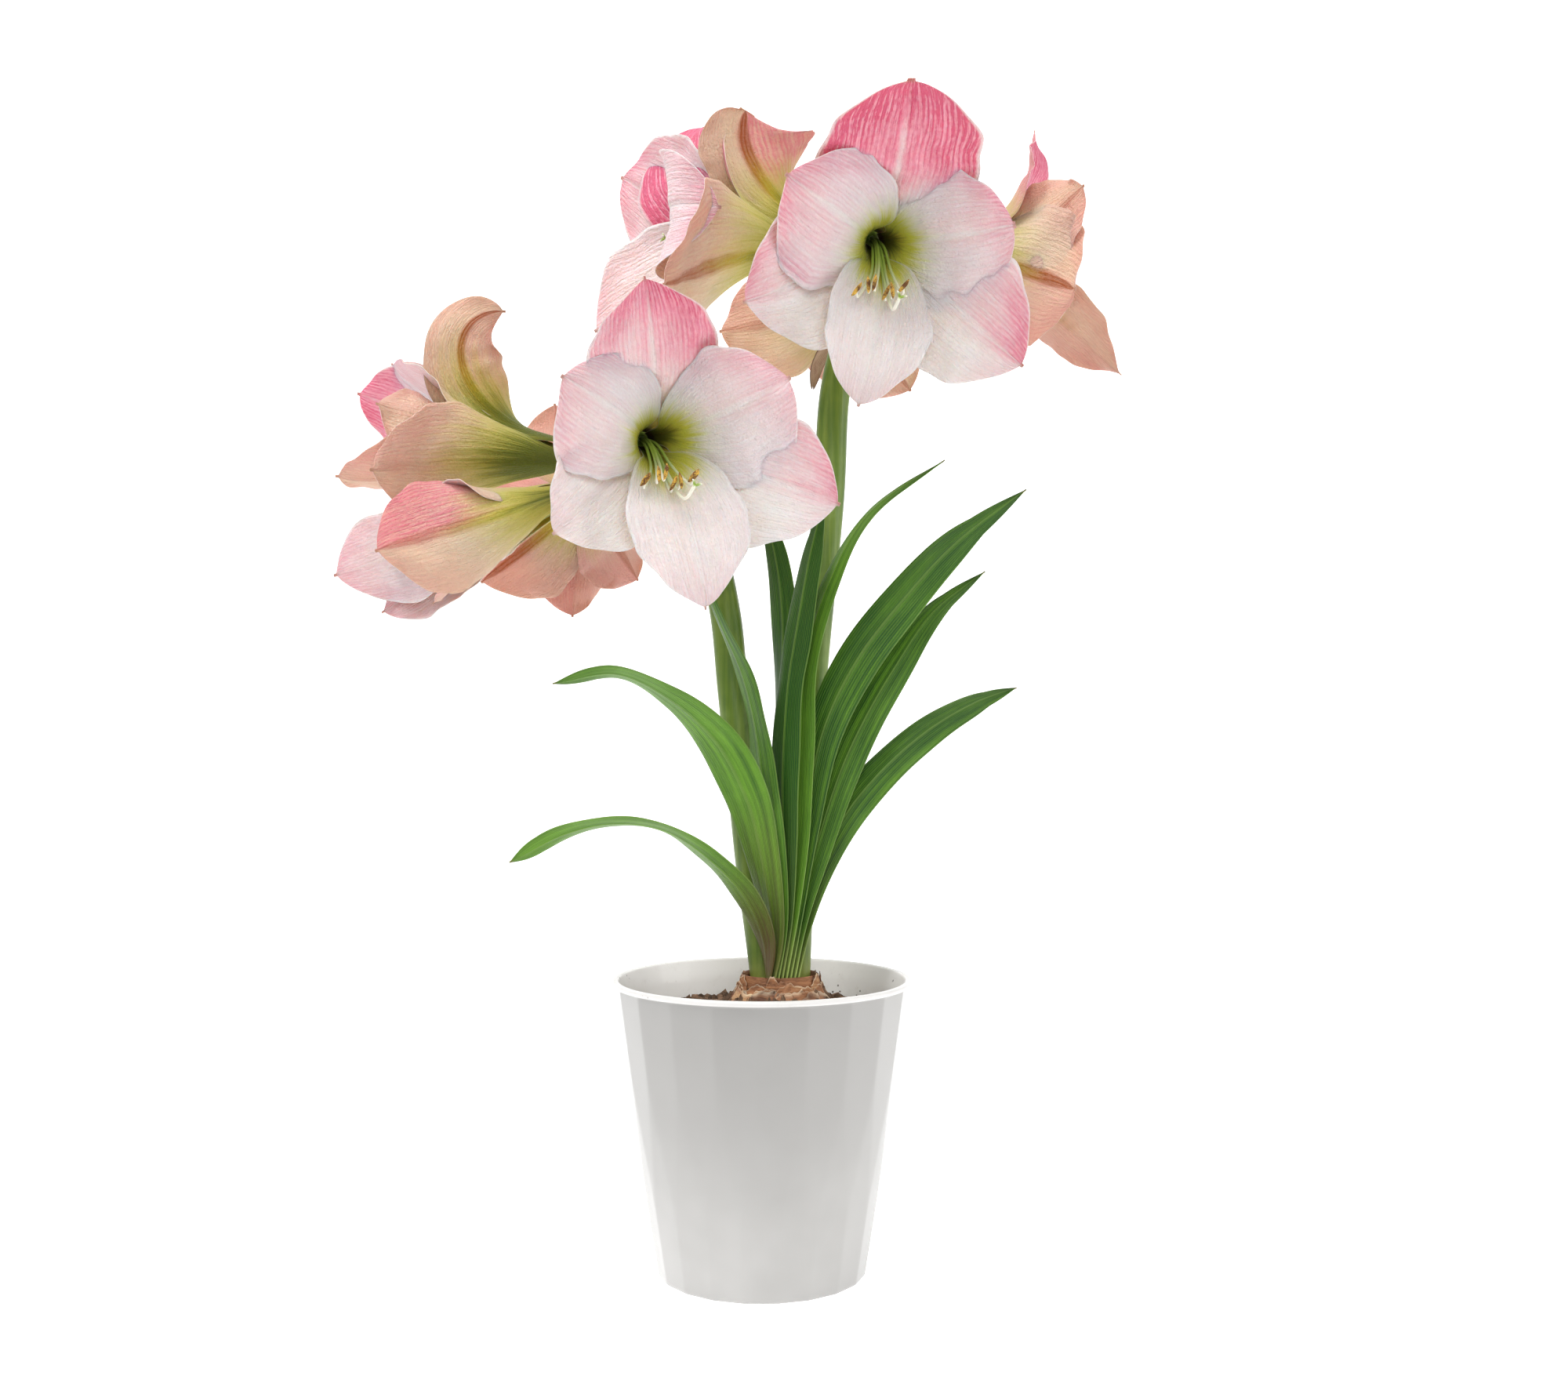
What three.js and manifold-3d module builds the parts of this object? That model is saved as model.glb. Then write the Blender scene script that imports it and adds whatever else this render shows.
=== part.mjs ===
// Amaryllis in a pot: two flower stalks with four open blooms each, nine strap leaves, a bulb half
// buried in soil, and a glossy plastic pot with twenty flat sides in two interlocking tiers.
// Millimetres, +Z up. The pot's foot rests on z = 0 about the Z axis, and the front faces -Y.

import * as THREE from 'three';
import { mergeVertices } from 'three/addons/utils/BufferGeometryUtils.js';
import Module from 'manifold-3d';

const wasm = await Module();
wasm.setup();

// ---------------------------------------------------------------- driving dimensions

const POT_HEIGHT = 158;
const POT_SIDES = 20;
const RIM_RADIUS = 80.5;
const RIM_HEIGHT = 2;
const RIM_INNER_RADIUS = 76.8;
const TIER_CROSS_HEIGHT = 72;
const TIER_CROSS_APOTHEM = 66.4;
const UPPER_TIER_SLOPE = 0.135;
const LOWER_TIER_SLOPE = 0.16;
const WALL_INNER_TOP = 75.4;
const WALL_INNER_FOOT = 53;
const FLOOR_THICKNESS = 4;

const CLEARANCE = 0.6;
const BULB_X = 9.5;
const BULB_RADIUS = 39;
const NECK_TOP = 161;
const NECK_WIDE = 21;
const NECK_DEEP = 19.1;
const PIT_WIDE = 19.8;
const PIT_DEEP = 17.9;
const PIT_FLOOR = 152;

const TEPAL_THICKNESS = 0.9;
const LEAF_THICKNESS = 1.3;
const TUBE_RADIUS = 4.5;
const MOUTH_GAP = 0.4;
const SEAT_GAP = 0.3;

// ---------------------------------------------------------------- small vector tools

const add = (a, b) => [a[0] + b[0], a[1] + b[1], a[2] + b[2]];
const sub = (a, b) => [a[0] - b[0], a[1] - b[1], a[2] - b[2]];
const mul = (a, k) => [a[0] * k, a[1] * k, a[2] * k];
const dot = (a, b) => a[0] * b[0] + a[1] * b[1] + a[2] * b[2];
const cross = (a, b) => [a[1] * b[2] - a[2] * b[1], a[2] * b[0] - a[0] * b[2], a[0] * b[1] - a[1] * b[0]];
const unit = (a) => mul(a, 1 / Math.max(1e-9, Math.hypot(a[0], a[1], a[2])));
const rad = (degrees) => (degrees * Math.PI) / 180;
const mix = (a, b, t) => a + (b - a) * t;

function smooth(from, to, x) {
  const t = Math.min(1, Math.max(0, (x - from) / (to - from)));
  return t * t * (3 - 2 * t);
}

// Catmull-Rom curve through evenly spaced knots, read at t from 0 to 1.
function curve(knots, t) {
  const last = knots.length - 1;
  const x = Math.min(last, Math.max(0, t * last));
  const i = Math.min(last - 1, Math.floor(x));
  const u = x - i;
  const b = knots[i];
  const c = knots[i + 1];
  const a = i > 0 ? knots[i - 1] : 2 * b - c;
  const d = i + 2 <= last ? knots[i + 2] : 2 * c - b;
  return b + 0.5 * u * (c - a + u * (2 * a - 5 * b + 4 * c - d + u * (3 * (b - c) + d - a)));
}

function pathPoint(points, t) {
  return [0, 1, 2].map((k) => curve(points.map((p) => p[k]), t));
}

function pathTangent(points, t) {
  const before = pathPoint(points, Math.max(0, t - 0.01));
  const after = pathPoint(points, Math.min(1, t + 0.01));
  return unit(sub(after, before));
}

// ---------------------------------------------------------------- solids

function geometryFrom(vertices, triangles) {
  const geometry = new THREE.BufferGeometry();
  geometry.setAttribute('position', new THREE.Float32BufferAttribute(vertices.flat(), 3));
  geometry.setIndex(triangles.flat());
  return geometry;
}

function toManifold(geometry) {
  const bare = geometry.clone();
  bare.deleteAttribute('normal');
  bare.deleteAttribute('uv');
  const merged = mergeVertices(bare, 1e-4);
  return new wasm.Manifold(new wasm.Mesh({
    numProp: 3,
    vertProperties: new Float32Array(merged.attributes.position.array),
    triVerts: new Uint32Array(merged.index.array),
  }));
}

// The largest outward body of a manifold, so that closed pockets between crossed blades are filled.
function wholeBody(manifold, tolerance = 0.02) {
  const mesh = manifold.asOriginal().simplify(tolerance).getMesh();
  const count = mesh.vertProperties.length / mesh.numProp;
  const at = (i) => [0, 1, 2].map((k) => mesh.vertProperties[i * mesh.numProp + k]);
  const parent = Array.from({ length: count }, (_, i) => i);
  const root = (i) => {
    let r = i;
    while (parent[r] !== r) r = parent[r];
    while (parent[i] !== r) {
      const next = parent[i];
      parent[i] = r;
      i = next;
    }
    return r;
  };
  for (let i = 0; i < mesh.triVerts.length; i += 3) {
    parent[root(mesh.triVerts[i])] = root(mesh.triVerts[i + 1]);
    parent[root(mesh.triVerts[i + 1])] = root(mesh.triVerts[i + 2]);
  }
  const volumes = new Map();
  for (let i = 0; i < mesh.triVerts.length; i += 3) {
    const [a, b, c] = [0, 1, 2].map((k) => at(mesh.triVerts[i + k]));
    const key = root(mesh.triVerts[i]);
    volumes.set(key, (volumes.get(key) ?? 0) + dot(a, cross(b, c)) / 6);
  }
  const keep = [...volumes.entries()].sort((a, b) => b[1] - a[1])[0][0];
  const triangles = [];
  for (let i = 0; i < mesh.triVerts.length; i += 3) {
    if (root(mesh.triVerts[i]) === keep) {
      triangles.push([mesh.triVerts[i], mesh.triVerts[i + 1], mesh.triVerts[i + 2]]);
    }
  }
  const vertices = Array.from({ length: count }, (_, i) => at(i));
  return mergeVertices(geometryFrom(vertices, triangles), 1e-4);
}

// A thin closed blade about a grid of points. The last row of the grid is one point, the blade's tip.
// thick(row) is the thickness there, and both faces are cut into triangles the same way.
function blade(grid, thick) {
  const rows = grid.length - 1;
  const cols = grid[0].length - 1;
  const normalAt = (i, j) => {
    const r = Math.min(i, rows - 1);
    const along = sub(grid[Math.min(rows, r + 1)][j], grid[Math.max(0, r - 1)][j]);
    const acrossTo = grid[r][Math.min(cols, j + 1)];
    const acrossFrom = grid[r][Math.max(0, j - 1)];
    return unit(cross(along, sub(acrossTo, acrossFrom)));
  };
  const vertices = [];
  const front = [];
  const back = [];
  for (let i = 0; i < rows; i += 1) {
    front.push([]);
    back.push([]);
    for (let j = 0; j <= cols; j += 1) {
      const half = mul(normalAt(i, j), thick(i / rows) / 2);
      front[i].push(vertices.push(add(grid[i][j], half)) - 1);
      back[i].push(vertices.push(sub(grid[i][j], half)) - 1);
    }
  }
  const tip = grid[rows][Math.round(cols / 2)];
  const tipHalf = mul(normalAt(rows - 1, Math.round(cols / 2)), thick(1) / 2);
  const tipFront = vertices.push(add(tip, tipHalf)) - 1;
  const tipBack = vertices.push(sub(tip, tipHalf)) - 1;
  const triangles = [];
  const face = (a, b, c, d, flip) => {
    if (flip) triangles.push([a, c, b], [a, d, c]);
    else triangles.push([a, b, c], [a, c, d]);
  };
  for (let i = 0; i < rows - 1; i += 1) {
    for (let j = 0; j < cols; j += 1) {
      face(front[i][j], front[i + 1][j], front[i + 1][j + 1], front[i][j + 1], false);
      face(back[i][j], back[i + 1][j], back[i + 1][j + 1], back[i][j + 1], true);
    }
    face(front[i][0], back[i][0], back[i + 1][0], front[i + 1][0], false);
    face(front[i][cols], back[i][cols], back[i + 1][cols], front[i + 1][cols], true);
  }
  const end = rows - 1;
  for (let j = 0; j < cols; j += 1) {
    triangles.push([front[end][j], tipFront, front[end][j + 1]]);
    triangles.push([back[end][j], back[end][j + 1], tipBack]);
    face(front[0][j], front[0][j + 1], back[0][j + 1], back[0][j], false);
  }
  face(front[end][0], back[end][0], tipBack, tipFront, false);
  face(front[end][cols], back[end][cols], tipBack, tipFront, true);
  return geometryFrom(vertices, triangles);
}

// A closed round rod along a path, its radius read from knots, with flat or pointed ends.
function rod(points, radii, sides, steps) {
  const vertices = [];
  const triangles = [];
  const start = pathTangent(points, 0);
  let side = unit(cross(start, Math.abs(start[1]) < 0.8 ? [0, 1, 0] : [1, 0, 0]));
  for (let i = 0; i <= steps; i += 1) {
    const t = i / steps;
    const centre = pathPoint(points, t);
    const tangent = pathTangent(points, t);
    side = unit(sub(side, mul(tangent, dot(side, tangent))));
    const other = cross(tangent, side);
    const radius = curve(radii, t);
    for (let j = 0; j < sides; j += 1) {
      const a = (2 * Math.PI * j) / sides;
      const offset = add(mul(side, radius * Math.cos(a)), mul(other, radius * Math.sin(a)));
      vertices.push(add(centre, offset));
    }
  }
  const first = vertices.push(pathPoint(points, 0)) - 1;
  const last = vertices.push(pathPoint(points, 1)) - 1;
  for (let j = 0; j < sides; j += 1) {
    const k = (j + 1) % sides;
    for (let i = 0; i < steps; i += 1) {
      const a = i * sides;
      const b = a + sides;
      triangles.push([a + j, a + k, b + k], [a + j, b + k, b + j]);
    }
    triangles.push([first, k, j]);
    triangles.push([last, steps * sides + j, steps * sides + k]);
  }
  return geometryFrom(vertices, triangles);
}

// A four-sided spindle about a centre, pointed at both ends.
function spindle(centre, reach, radius) {
  const lead = unit(reach);
  const side = mul(unit(cross(lead, [0.3, 0.5, 0.8])), radius);
  const other = mul(cross(lead, unit(side)), radius);
  const vertices = [
    sub(centre, reach), add(centre, side), add(centre, other), sub(centre, side), sub(centre, other),
    add(centre, reach),
  ];
  const triangles = [];
  for (let j = 1; j <= 4; j += 1) {
    const k = (j % 4) + 1;
    triangles.push([0, k, j], [5, j, k]);
  }
  return geometryFrom(vertices, triangles);
}

function lathe(profile, segments) {
  const points = profile.map(([r, z]) => new THREE.Vector2(r, z));
  const geometry = new THREE.LatheGeometry(points, segments);
  geometry.rotateX(Math.PI / 2);
  return geometry;
}

// A straight-sided frustum of a regular prism, given by the distance of its flats from the axis.
function frustum(apothemAt, fromZ, toZ, turn) {
  const vertices = [];
  const triangles = [];
  for (const z of [fromZ, toZ]) {
    const radius = apothemAt(z) / Math.cos(Math.PI / POT_SIDES);
    for (let j = 0; j < POT_SIDES; j += 1) {
      const a = (2 * Math.PI * (j + turn)) / POT_SIDES;
      vertices.push([radius * Math.cos(a), radius * Math.sin(a), z]);
    }
  }
  const low = vertices.push([0, 0, fromZ]) - 1;
  const high = vertices.push([0, 0, toZ]) - 1;
  for (let j = 0; j < POT_SIDES; j += 1) {
    const k = (j + 1) % POT_SIDES;
    triangles.push([j, k, POT_SIDES + k], [j, POT_SIDES + k, POT_SIDES + j]);
    triangles.push([low, k, j], [high, POT_SIDES + j, POT_SIDES + k]);
  }
  return toManifold(geometryFrom(vertices, triangles));
}

// ---------------------------------------------------------------- pot, soil and bulb

const upperTier = (z) => TIER_CROSS_APOTHEM + (z - TIER_CROSS_HEIGHT) * UPPER_TIER_SLOPE;
const lowerTier = (z) => TIER_CROSS_APOTHEM + (z - TIER_CROSS_HEIGHT) * LOWER_TIER_SLOPE;
const innerWall = (z) => mix(WALL_INNER_FOOT, WALL_INNER_TOP, z / POT_HEIGHT);

function makePot() {
  const body = frustum(upperTier, 0, POT_HEIGHT - 1, 0).intersect(frustum(lowerTier, 0, POT_HEIGHT - 1, 0.5));
  const rim = toManifold(lathe([
    [0, POT_HEIGHT - RIM_HEIGHT - 1],
    [RIM_RADIUS - 1.8, POT_HEIGHT - RIM_HEIGHT - 1],
    [RIM_RADIUS, POT_HEIGHT - RIM_HEIGHT],
    [RIM_RADIUS, POT_HEIGHT - 1],
    [RIM_RADIUS - 1, POT_HEIGHT],
    [0, POT_HEIGHT],
  ], 36));
  const hollow = toManifold(lathe([
    [0, FLOOR_THICKNESS],
    [innerWall(FLOOR_THICKNESS) - 3, FLOOR_THICKNESS],
    [innerWall(FLOOR_THICKNESS + 3), FLOOR_THICKNESS + 3],
    [innerWall(POT_HEIGHT - 8), POT_HEIGHT - 8],
    [RIM_INNER_RADIUS, POT_HEIGHT - 2],
    [RIM_INNER_RADIUS + 1, POT_HEIGHT + 1],
    [0, POT_HEIGHT + 1],
  ], 36));
  return wholeBody(body.add(rim).subtract(hollow));
}

// Outside of the bulb from its base plate up to the neck, as distance from its own axis over height.
const BULB_PROFILE = [
  [0, 78], [14, 78], [29, 88], [37.5, 103], [39, 117], [36, 130], [29.5, 143], [22.5, 153],
];

function bulbSolid(grow) {
  const profile = BULB_PROFILE.map(([r, z], i) => [
    r === 0 ? 0 : (r * BULB_RADIUS) / 39 + grow,
    z - (i < 2 ? grow : 0),
  ]);
  profile.push([NECK_WIDE + grow, NECK_TOP + grow]);
  profile.push([0, NECK_TOP + grow]);
  const geometry = lathe(profile, 18);
  const position = geometry.attributes.position;
  for (let i = 0; i < position.count; i += 1) {
    const y = position.getY(i);
    const squeeze = mix(1, NECK_DEEP / NECK_WIDE, smooth(130, 164, position.getZ(i)));
    position.setXYZ(i, position.getX(i) + BULB_X, y * squeeze, position.getZ(i));
  }
  return toManifold(geometry);
}

function makeBulb() {
  const pit = lathe(
    [[0, PIT_FLOOR], [PIT_WIDE - 0.4, PIT_FLOOR], [PIT_WIDE, NECK_TOP + 2], [0, NECK_TOP + 2]],
    24,
  );
  pit.scale(1, PIT_DEEP / PIT_WIDE, 1);
  pit.translate(BULB_X, 0, 0);
  return wholeBody(bulbSolid(0).subtract(toManifold(pit)));
}

// Height of the soil: low along the wall, heaped about the bulb, with gentle uneven lumps.
function soilHeight(x, y) {
  const fromBulb = Math.hypot(x - BULB_X, y);
  const heap = 16 * (1 - smooth(18, 42, fromBulb));
  const broad = 1.3 * Math.sin(0.23 * x + 1.1) * Math.cos(0.19 * y - 0.6);
  const lumps = broad + 0.9 * Math.sin(0.41 * y + 0.3 * x);
  return 136 + heap + lumps;
}

function makeSoil() {
  const rings = 5;
  const around = 24;
  const vertices = [];
  const triangles = [];
  const top = [vertices.push([0, 0, soilHeight(0, 0)]) - 1];
  const wallTop = innerWall(134) - CLEARANCE;
  for (let i = 1; i <= rings; i += 1) {
    for (let j = 0; j < around; j += 1) {
      const a = (2 * Math.PI * j) / around;
      const r = (wallTop * i) / rings;
      const x = r * Math.cos(a);
      const y = r * Math.sin(a);
      vertices.push([x, y, i === rings ? 134 : soilHeight(x, y)]);
    }
  }
  const low = FLOOR_THICKNESS + CLEARANCE;
  const shoulder = vertices.length;
  for (let j = 0; j < around; j += 1) {
    const a = (2 * Math.PI * j) / around;
    const r = innerWall(low + 4) - CLEARANCE;
    vertices.push([r * Math.cos(a), r * Math.sin(a), low + 4]);
  }
  const foot = vertices.length;
  for (let j = 0; j < around; j += 1) {
    const a = (2 * Math.PI * j) / around;
    const r = innerWall(low) - 4;
    vertices.push([r * Math.cos(a), r * Math.sin(a), low]);
  }
  const bottom = vertices.push([0, 0, low]) - 1;
  const ring = (i, j) => 1 + (i - 1) * around + (j % around);
  for (let j = 0; j < around; j += 1) {
    triangles.push([top[0], ring(1, j), ring(1, j + 1)]);
    for (let i = 1; i < rings; i += 1) {
      triangles.push([ring(i, j), ring(i + 1, j), ring(i + 1, j + 1)]);
      triangles.push([ring(i, j), ring(i + 1, j + 1), ring(i, j + 1)]);
    }
    const k = (j + 1) % around;
    triangles.push([ring(rings, j), shoulder + j, shoulder + k]);
    triangles.push([ring(rings, j), shoulder + k, ring(rings, j + 1)]);
    triangles.push([shoulder + j, foot + j, foot + k], [shoulder + j, foot + k, shoulder + k]);
    triangles.push([foot + j, bottom, foot + k]);
  }
  return wholeBody(toManifold(geometryFrom(vertices, triangles)).subtract(bulbSolid(CLEARANCE)));
}

// ---------------------------------------------------------------- flower stalks

// Each bloom: where its tube begins, the way it faces, and its six tepals.
// A tepal is [turn about the axis, length, half width, flare knots, options]; flare is the angle
// between the tepal and the bloom's axis, drift the angle out of its own plane, twist the turn of
// the blade about its midrib, skew the share by which one side is wider than the other, neck how far
// out its widest place lies, and cup the curve across it as a share of one over its width.
const EVEN_CUP = [1, 1, 0.6, 0.3, 0.6];
const FOLD_CUP = [1, 1, 0.8, -0.3, -0.8];
const ROUND_CUP = [1, 1, 0.9, 0.6, 0.6];
const LATE = [0.3, 0.85];
const TUCKED = { inner: true, cup: [1, 1, 1.6, 1.6, 1.4], hold: [0.45, 0.95] };

const BLOOMS = {
  left_1: {
    at: [-64, -10, 446],
    rows: 6,
    faces: [0.32, -0.93, -0.17],
    sag: 1.3,
    swing: -5,
    tepals: [
      [105, 117, 35, [12, 24, 50, 66, 78], { point: 0.85 }],
      [33, 107, 38, [10, 16, 40, 58, 96],
        { inner: true, skew: -0.15, neck: 2, cup: FOLD_CUP, wave: [2.5, 2.5, 0.5] }],
      [-17, 123, 36, [12, 26, 52, 64, 80], {}],
      [-79, 128, 31, [10, 16, 40, 66, 100], { inner: true, cup: [1, 1, 0.8, -0.2, -0.2], point: 0.85 }],
      [218, 103, 31, [12, 26, 50, 68, 80], {}],
      [152, 104, 33, [10, 14, 40, 68, 100],
        { inner: true, skew: 0.15, neck: 2, cup: [1, 1, 0.8, -0.5, -1] }],
    ],
  },
  left_2: {
    at: [-91, 12, 438],
    faces: [-0.97, -0.1, 0.05],
    sag: 0.3,
    tepals: [
      [86, 133, 22, [16, 15, 12, 25, 44, 64, 95, 140, 185],
        { twist: [0, -10, -75, -90, -90], cup: [1, 1, 0.9, 0.7, 0.7], hold: LATE }],
      [32, 120, 34, [7, 9, 13, 20, 28], TUCKED],
      [-24, 122, 34, [10, 13, 18, 22, 28], { cup: ROUND_CUP, hold: LATE }],
      [-62, 138, 32, [7, 9, 10, 6, -4], TUCKED],
      [160, 150, 32, [8, 12, 26, 32, 34], { drift: [0, -4, -8, -8, -8], cup: ROUND_CUP, hold: LATE }],
      [122, 132, 34, [6, 10, 24, 38, 56], { inner: true, cup: ROUND_CUP, hold: LATE }],
    ],
  },
  left_3: {
    at: [-94, -24.5, 418.5],
    faces: [-0.93, -0.08, -0.37],
    sag: 0.35,
    tepals: [
      [5, 114, 33, [13, 16, 18, 21, 22], { cup: [1, 1, 1, 1, 1.2], hold: LATE }],
      [60, 98, 31, [6, 8, 11, 14, 16], TUCKED],
      [134, 84, 32, [13, 12, 10, 8, 8], { cup: ROUND_CUP, hold: LATE }],
      [168, 146, 30, [6, 10, 15, 18, 18], TUCKED],
      [208, 130, 23, [13, 15, 17, 18, 20], { cup: ROUND_CUP, hold: LATE }],
      [-95, 98, 28, [6, 9, 14, 19, 24], TUCKED],
    ],
  },
  left_4: {
    at: [-90, 40, 430],
    faces: [-0.42, 0.82, -0.32],
    tepals: [
      [85, 86, 27, [12, 28, 60, 84, 110], {}],
      [25, 96, 30, [8, 15, 32, 54, 80], TUCKED],
      [-33, 95, 32, [12, 24, 40, 54, 60], { cup: ROUND_CUP, hold: LATE }],
      [-90, 92, 27, [8, 15, 34, 56, 78], TUCKED],
      [-140, 80, 28, [12, 24, 40, 54, 64], { cup: ROUND_CUP, hold: LATE }],
      [150, 90, 30, [8, 15, 32, 54, 80], TUCKED],
    ],
  },
  right_1: {
    at: [59, -5, 554],
    rows: 6,
    faces: [0.14, -0.93, -0.34],
    sag: 1.3,
    swing: -10,
    tepals: [
      [91, 120, 42, [12, 24, 50, 64, 74], { point: 0.62, cup: [1, 1, 0.6, 0.3, 0.5] }],
      [16, 98, 38, [10, 16, 40, 58, 96],
        { inner: true, skew: -0.1, neck: 1.8, point: 0.65, cup: FOLD_CUP, wave: [2.5, 2.5, 0.5] }],
      [-38, 119, 36, [12, 26, 52, 64, 80], {}],
      [-103, 120, 28, [10, 16, 40, 66, 96], { inner: true, cup: [1, 1, 0.9, 0.5, 0.5] }],
      [199, 110, 36, [12, 26, 50, 70, 84], {}],
      [148, 111, 36, [10, 14, 40, 64, 92],
        { inner: true, skew: 0.1, neck: 1.8, cup: [1, 1, 0.8, -0.5, -1] }],
    ],
  },
  right_2: {
    at: [33, 22, 558],
    faces: [-0.95, -0.22, 0.03],
    sag: 0.5,
    tepals: [
      [84, 84, 36, [14, 30, 40, 40, 48, 58, 68, 84, 110],
        { twist: [0, -45, -78, -82, -82], skew: 0.25, neck: 1.9, point: 0.42, cup: [1, 1, 0.8, 0.5, 0.4], hold: LATE }],
      [2, 134, 36, [8, 10, 13, 16, 19, 26, 78, 165, 185],
        { inner: true, cup: [1, 1, 1, 0.8, 0.4], hold: LATE }],
      [-38, 118, 45, [10, 25, 36, 43, 48], { cup: [1, 1, 0.6, 0.3, 0.3], hold: LATE }],
      [-118, 134, 40, [8, 16, 28, 34, 30],
        { inner: true, twist: [0, 0, -20, -45, -50], cup: ROUND_CUP, hold: LATE }],
      [168, 136, 40, [10, 20, 38, 52, 58],
        { drift: [0, -6, -16, -20, -20], cup: ROUND_CUP, hold: LATE }],
      [120, 128, 36, [8, 19, 44, 82, 150],
        { inner: true, twist: [0, 0, 20, 40, 40], cup: ROUND_CUP, hold: LATE }],
    ],
  },
  right_3: {
    at: [93, 18, 559],
    faces: [0.85, 0.48, -0.1],
    tepals: [
      [90, 108, 30, [12, 20, 22, 30, 46, 60, 74, 90, 108],
        { twist: [0, -10, -36, -46, -46], cup: [1, 1, 1, 0.8, 1], hold: LATE }],
      [30, 104, 32, [8, 15, 34, 56, 78], TUCKED],
      [-35, 108, 34, [10, 22, 44, 60, 70], {}],
      [-125, 130, 21, [8, 20, 38, 50, 46], { inner: true, cup: ROUND_CUP, point: 1.1, hold: LATE }],
      [205, 88, 40, [10, 22, 38, 60, 96], { cup: ROUND_CUP, hold: LATE }],
      [148, 92, 30, [8, 20, 42, 64, 96], { inner: true, cup: ROUND_CUP, hold: LATE }],
    ],
  },
  right_4: {
    at: [46, 50, 538],
    faces: [0.02, 0.98, -0.05],
    tepals: [
      [90, 96, 32, [12, 24, 46, 62, 84], {}],
      [35, 96, 30, [8, 15, 32, 54, 80], TUCKED],
      [-3, 108, 36, [12, 24, 46, 60, 74], {}],
      [-80, 84, 28, [7, 13, 24, 38, 54], TUCKED],
      [228, 84, 30, [12, 24, 46, 62, 84], {}],
      [155, 96, 30, [8, 15, 32, 54, 80], TUCKED],
    ],
  },
};

const STALKS = {
  left: {
    path: [
      [1.2, 4.2, 153], [-2, 6, 185], [-6, 9, 219], [-10.5, 11, 262], [-16, 13, 313], [-20.5, 15, 356],
      [-30, 19, 394], [-48, 22, 424],
    ],
    radii: [7, 8, 8.6, 8.6, 8.5, 8.4, 8.2, 7.6],
  },
  right: {
    path: [
      [18.8, 4.5, 153], [19.5, 7.4, 194], [22.5, 10, 262], [28, 11, 334], [36, 13, 415], [39, 15, 470],
      [46, 17, 508],
    ],
    radii: [7, 8, 8.6, 8.6, 8.5, 8.3, 7.6],
  },
};

const OVARY_LENGTH = 15;

function bloomFrame(faces) {
  const axis = unit(faces);
  const right = unit(cross([0, 0, 1], axis));
  return { right, up: cross(axis, right), axis };
}

function makeStalk(side) {
  const { path, radii } = STALKS[side];
  let body = toManifold(rod(path, radii, 12, 8));
  const top = path[path.length - 1];
  const lead = pathTangent(path, 1);
  for (const [name, bloom] of Object.entries(BLOOMS)) {
    if (!name.startsWith(side)) continue;
    const axis = unit(bloom.faces);
    const mouth = sub(bloom.at, mul(axis, MOUTH_GAP));
    const low = sub(mouth, mul(axis, OVARY_LENGTH));
    const start = sub(top, mul(lead, 3));
    const leave = add(top, mul(lead, 5));
    const approach = sub(low, mul(axis, 9));
    body = body.add(toManifold(rod([start, leave, approach, low], [4.2, 3.6, 3, 3.2], 6, 5)));
    body = body.add(toManifold(rod([sub(low, axis), add(low, mul(axis, 7)), mouth], [3.2, 5.9, 4.6], 8, 3)));
  }
  return wholeBody(body);
}

// ---------------------------------------------------------------- blooms

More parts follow.
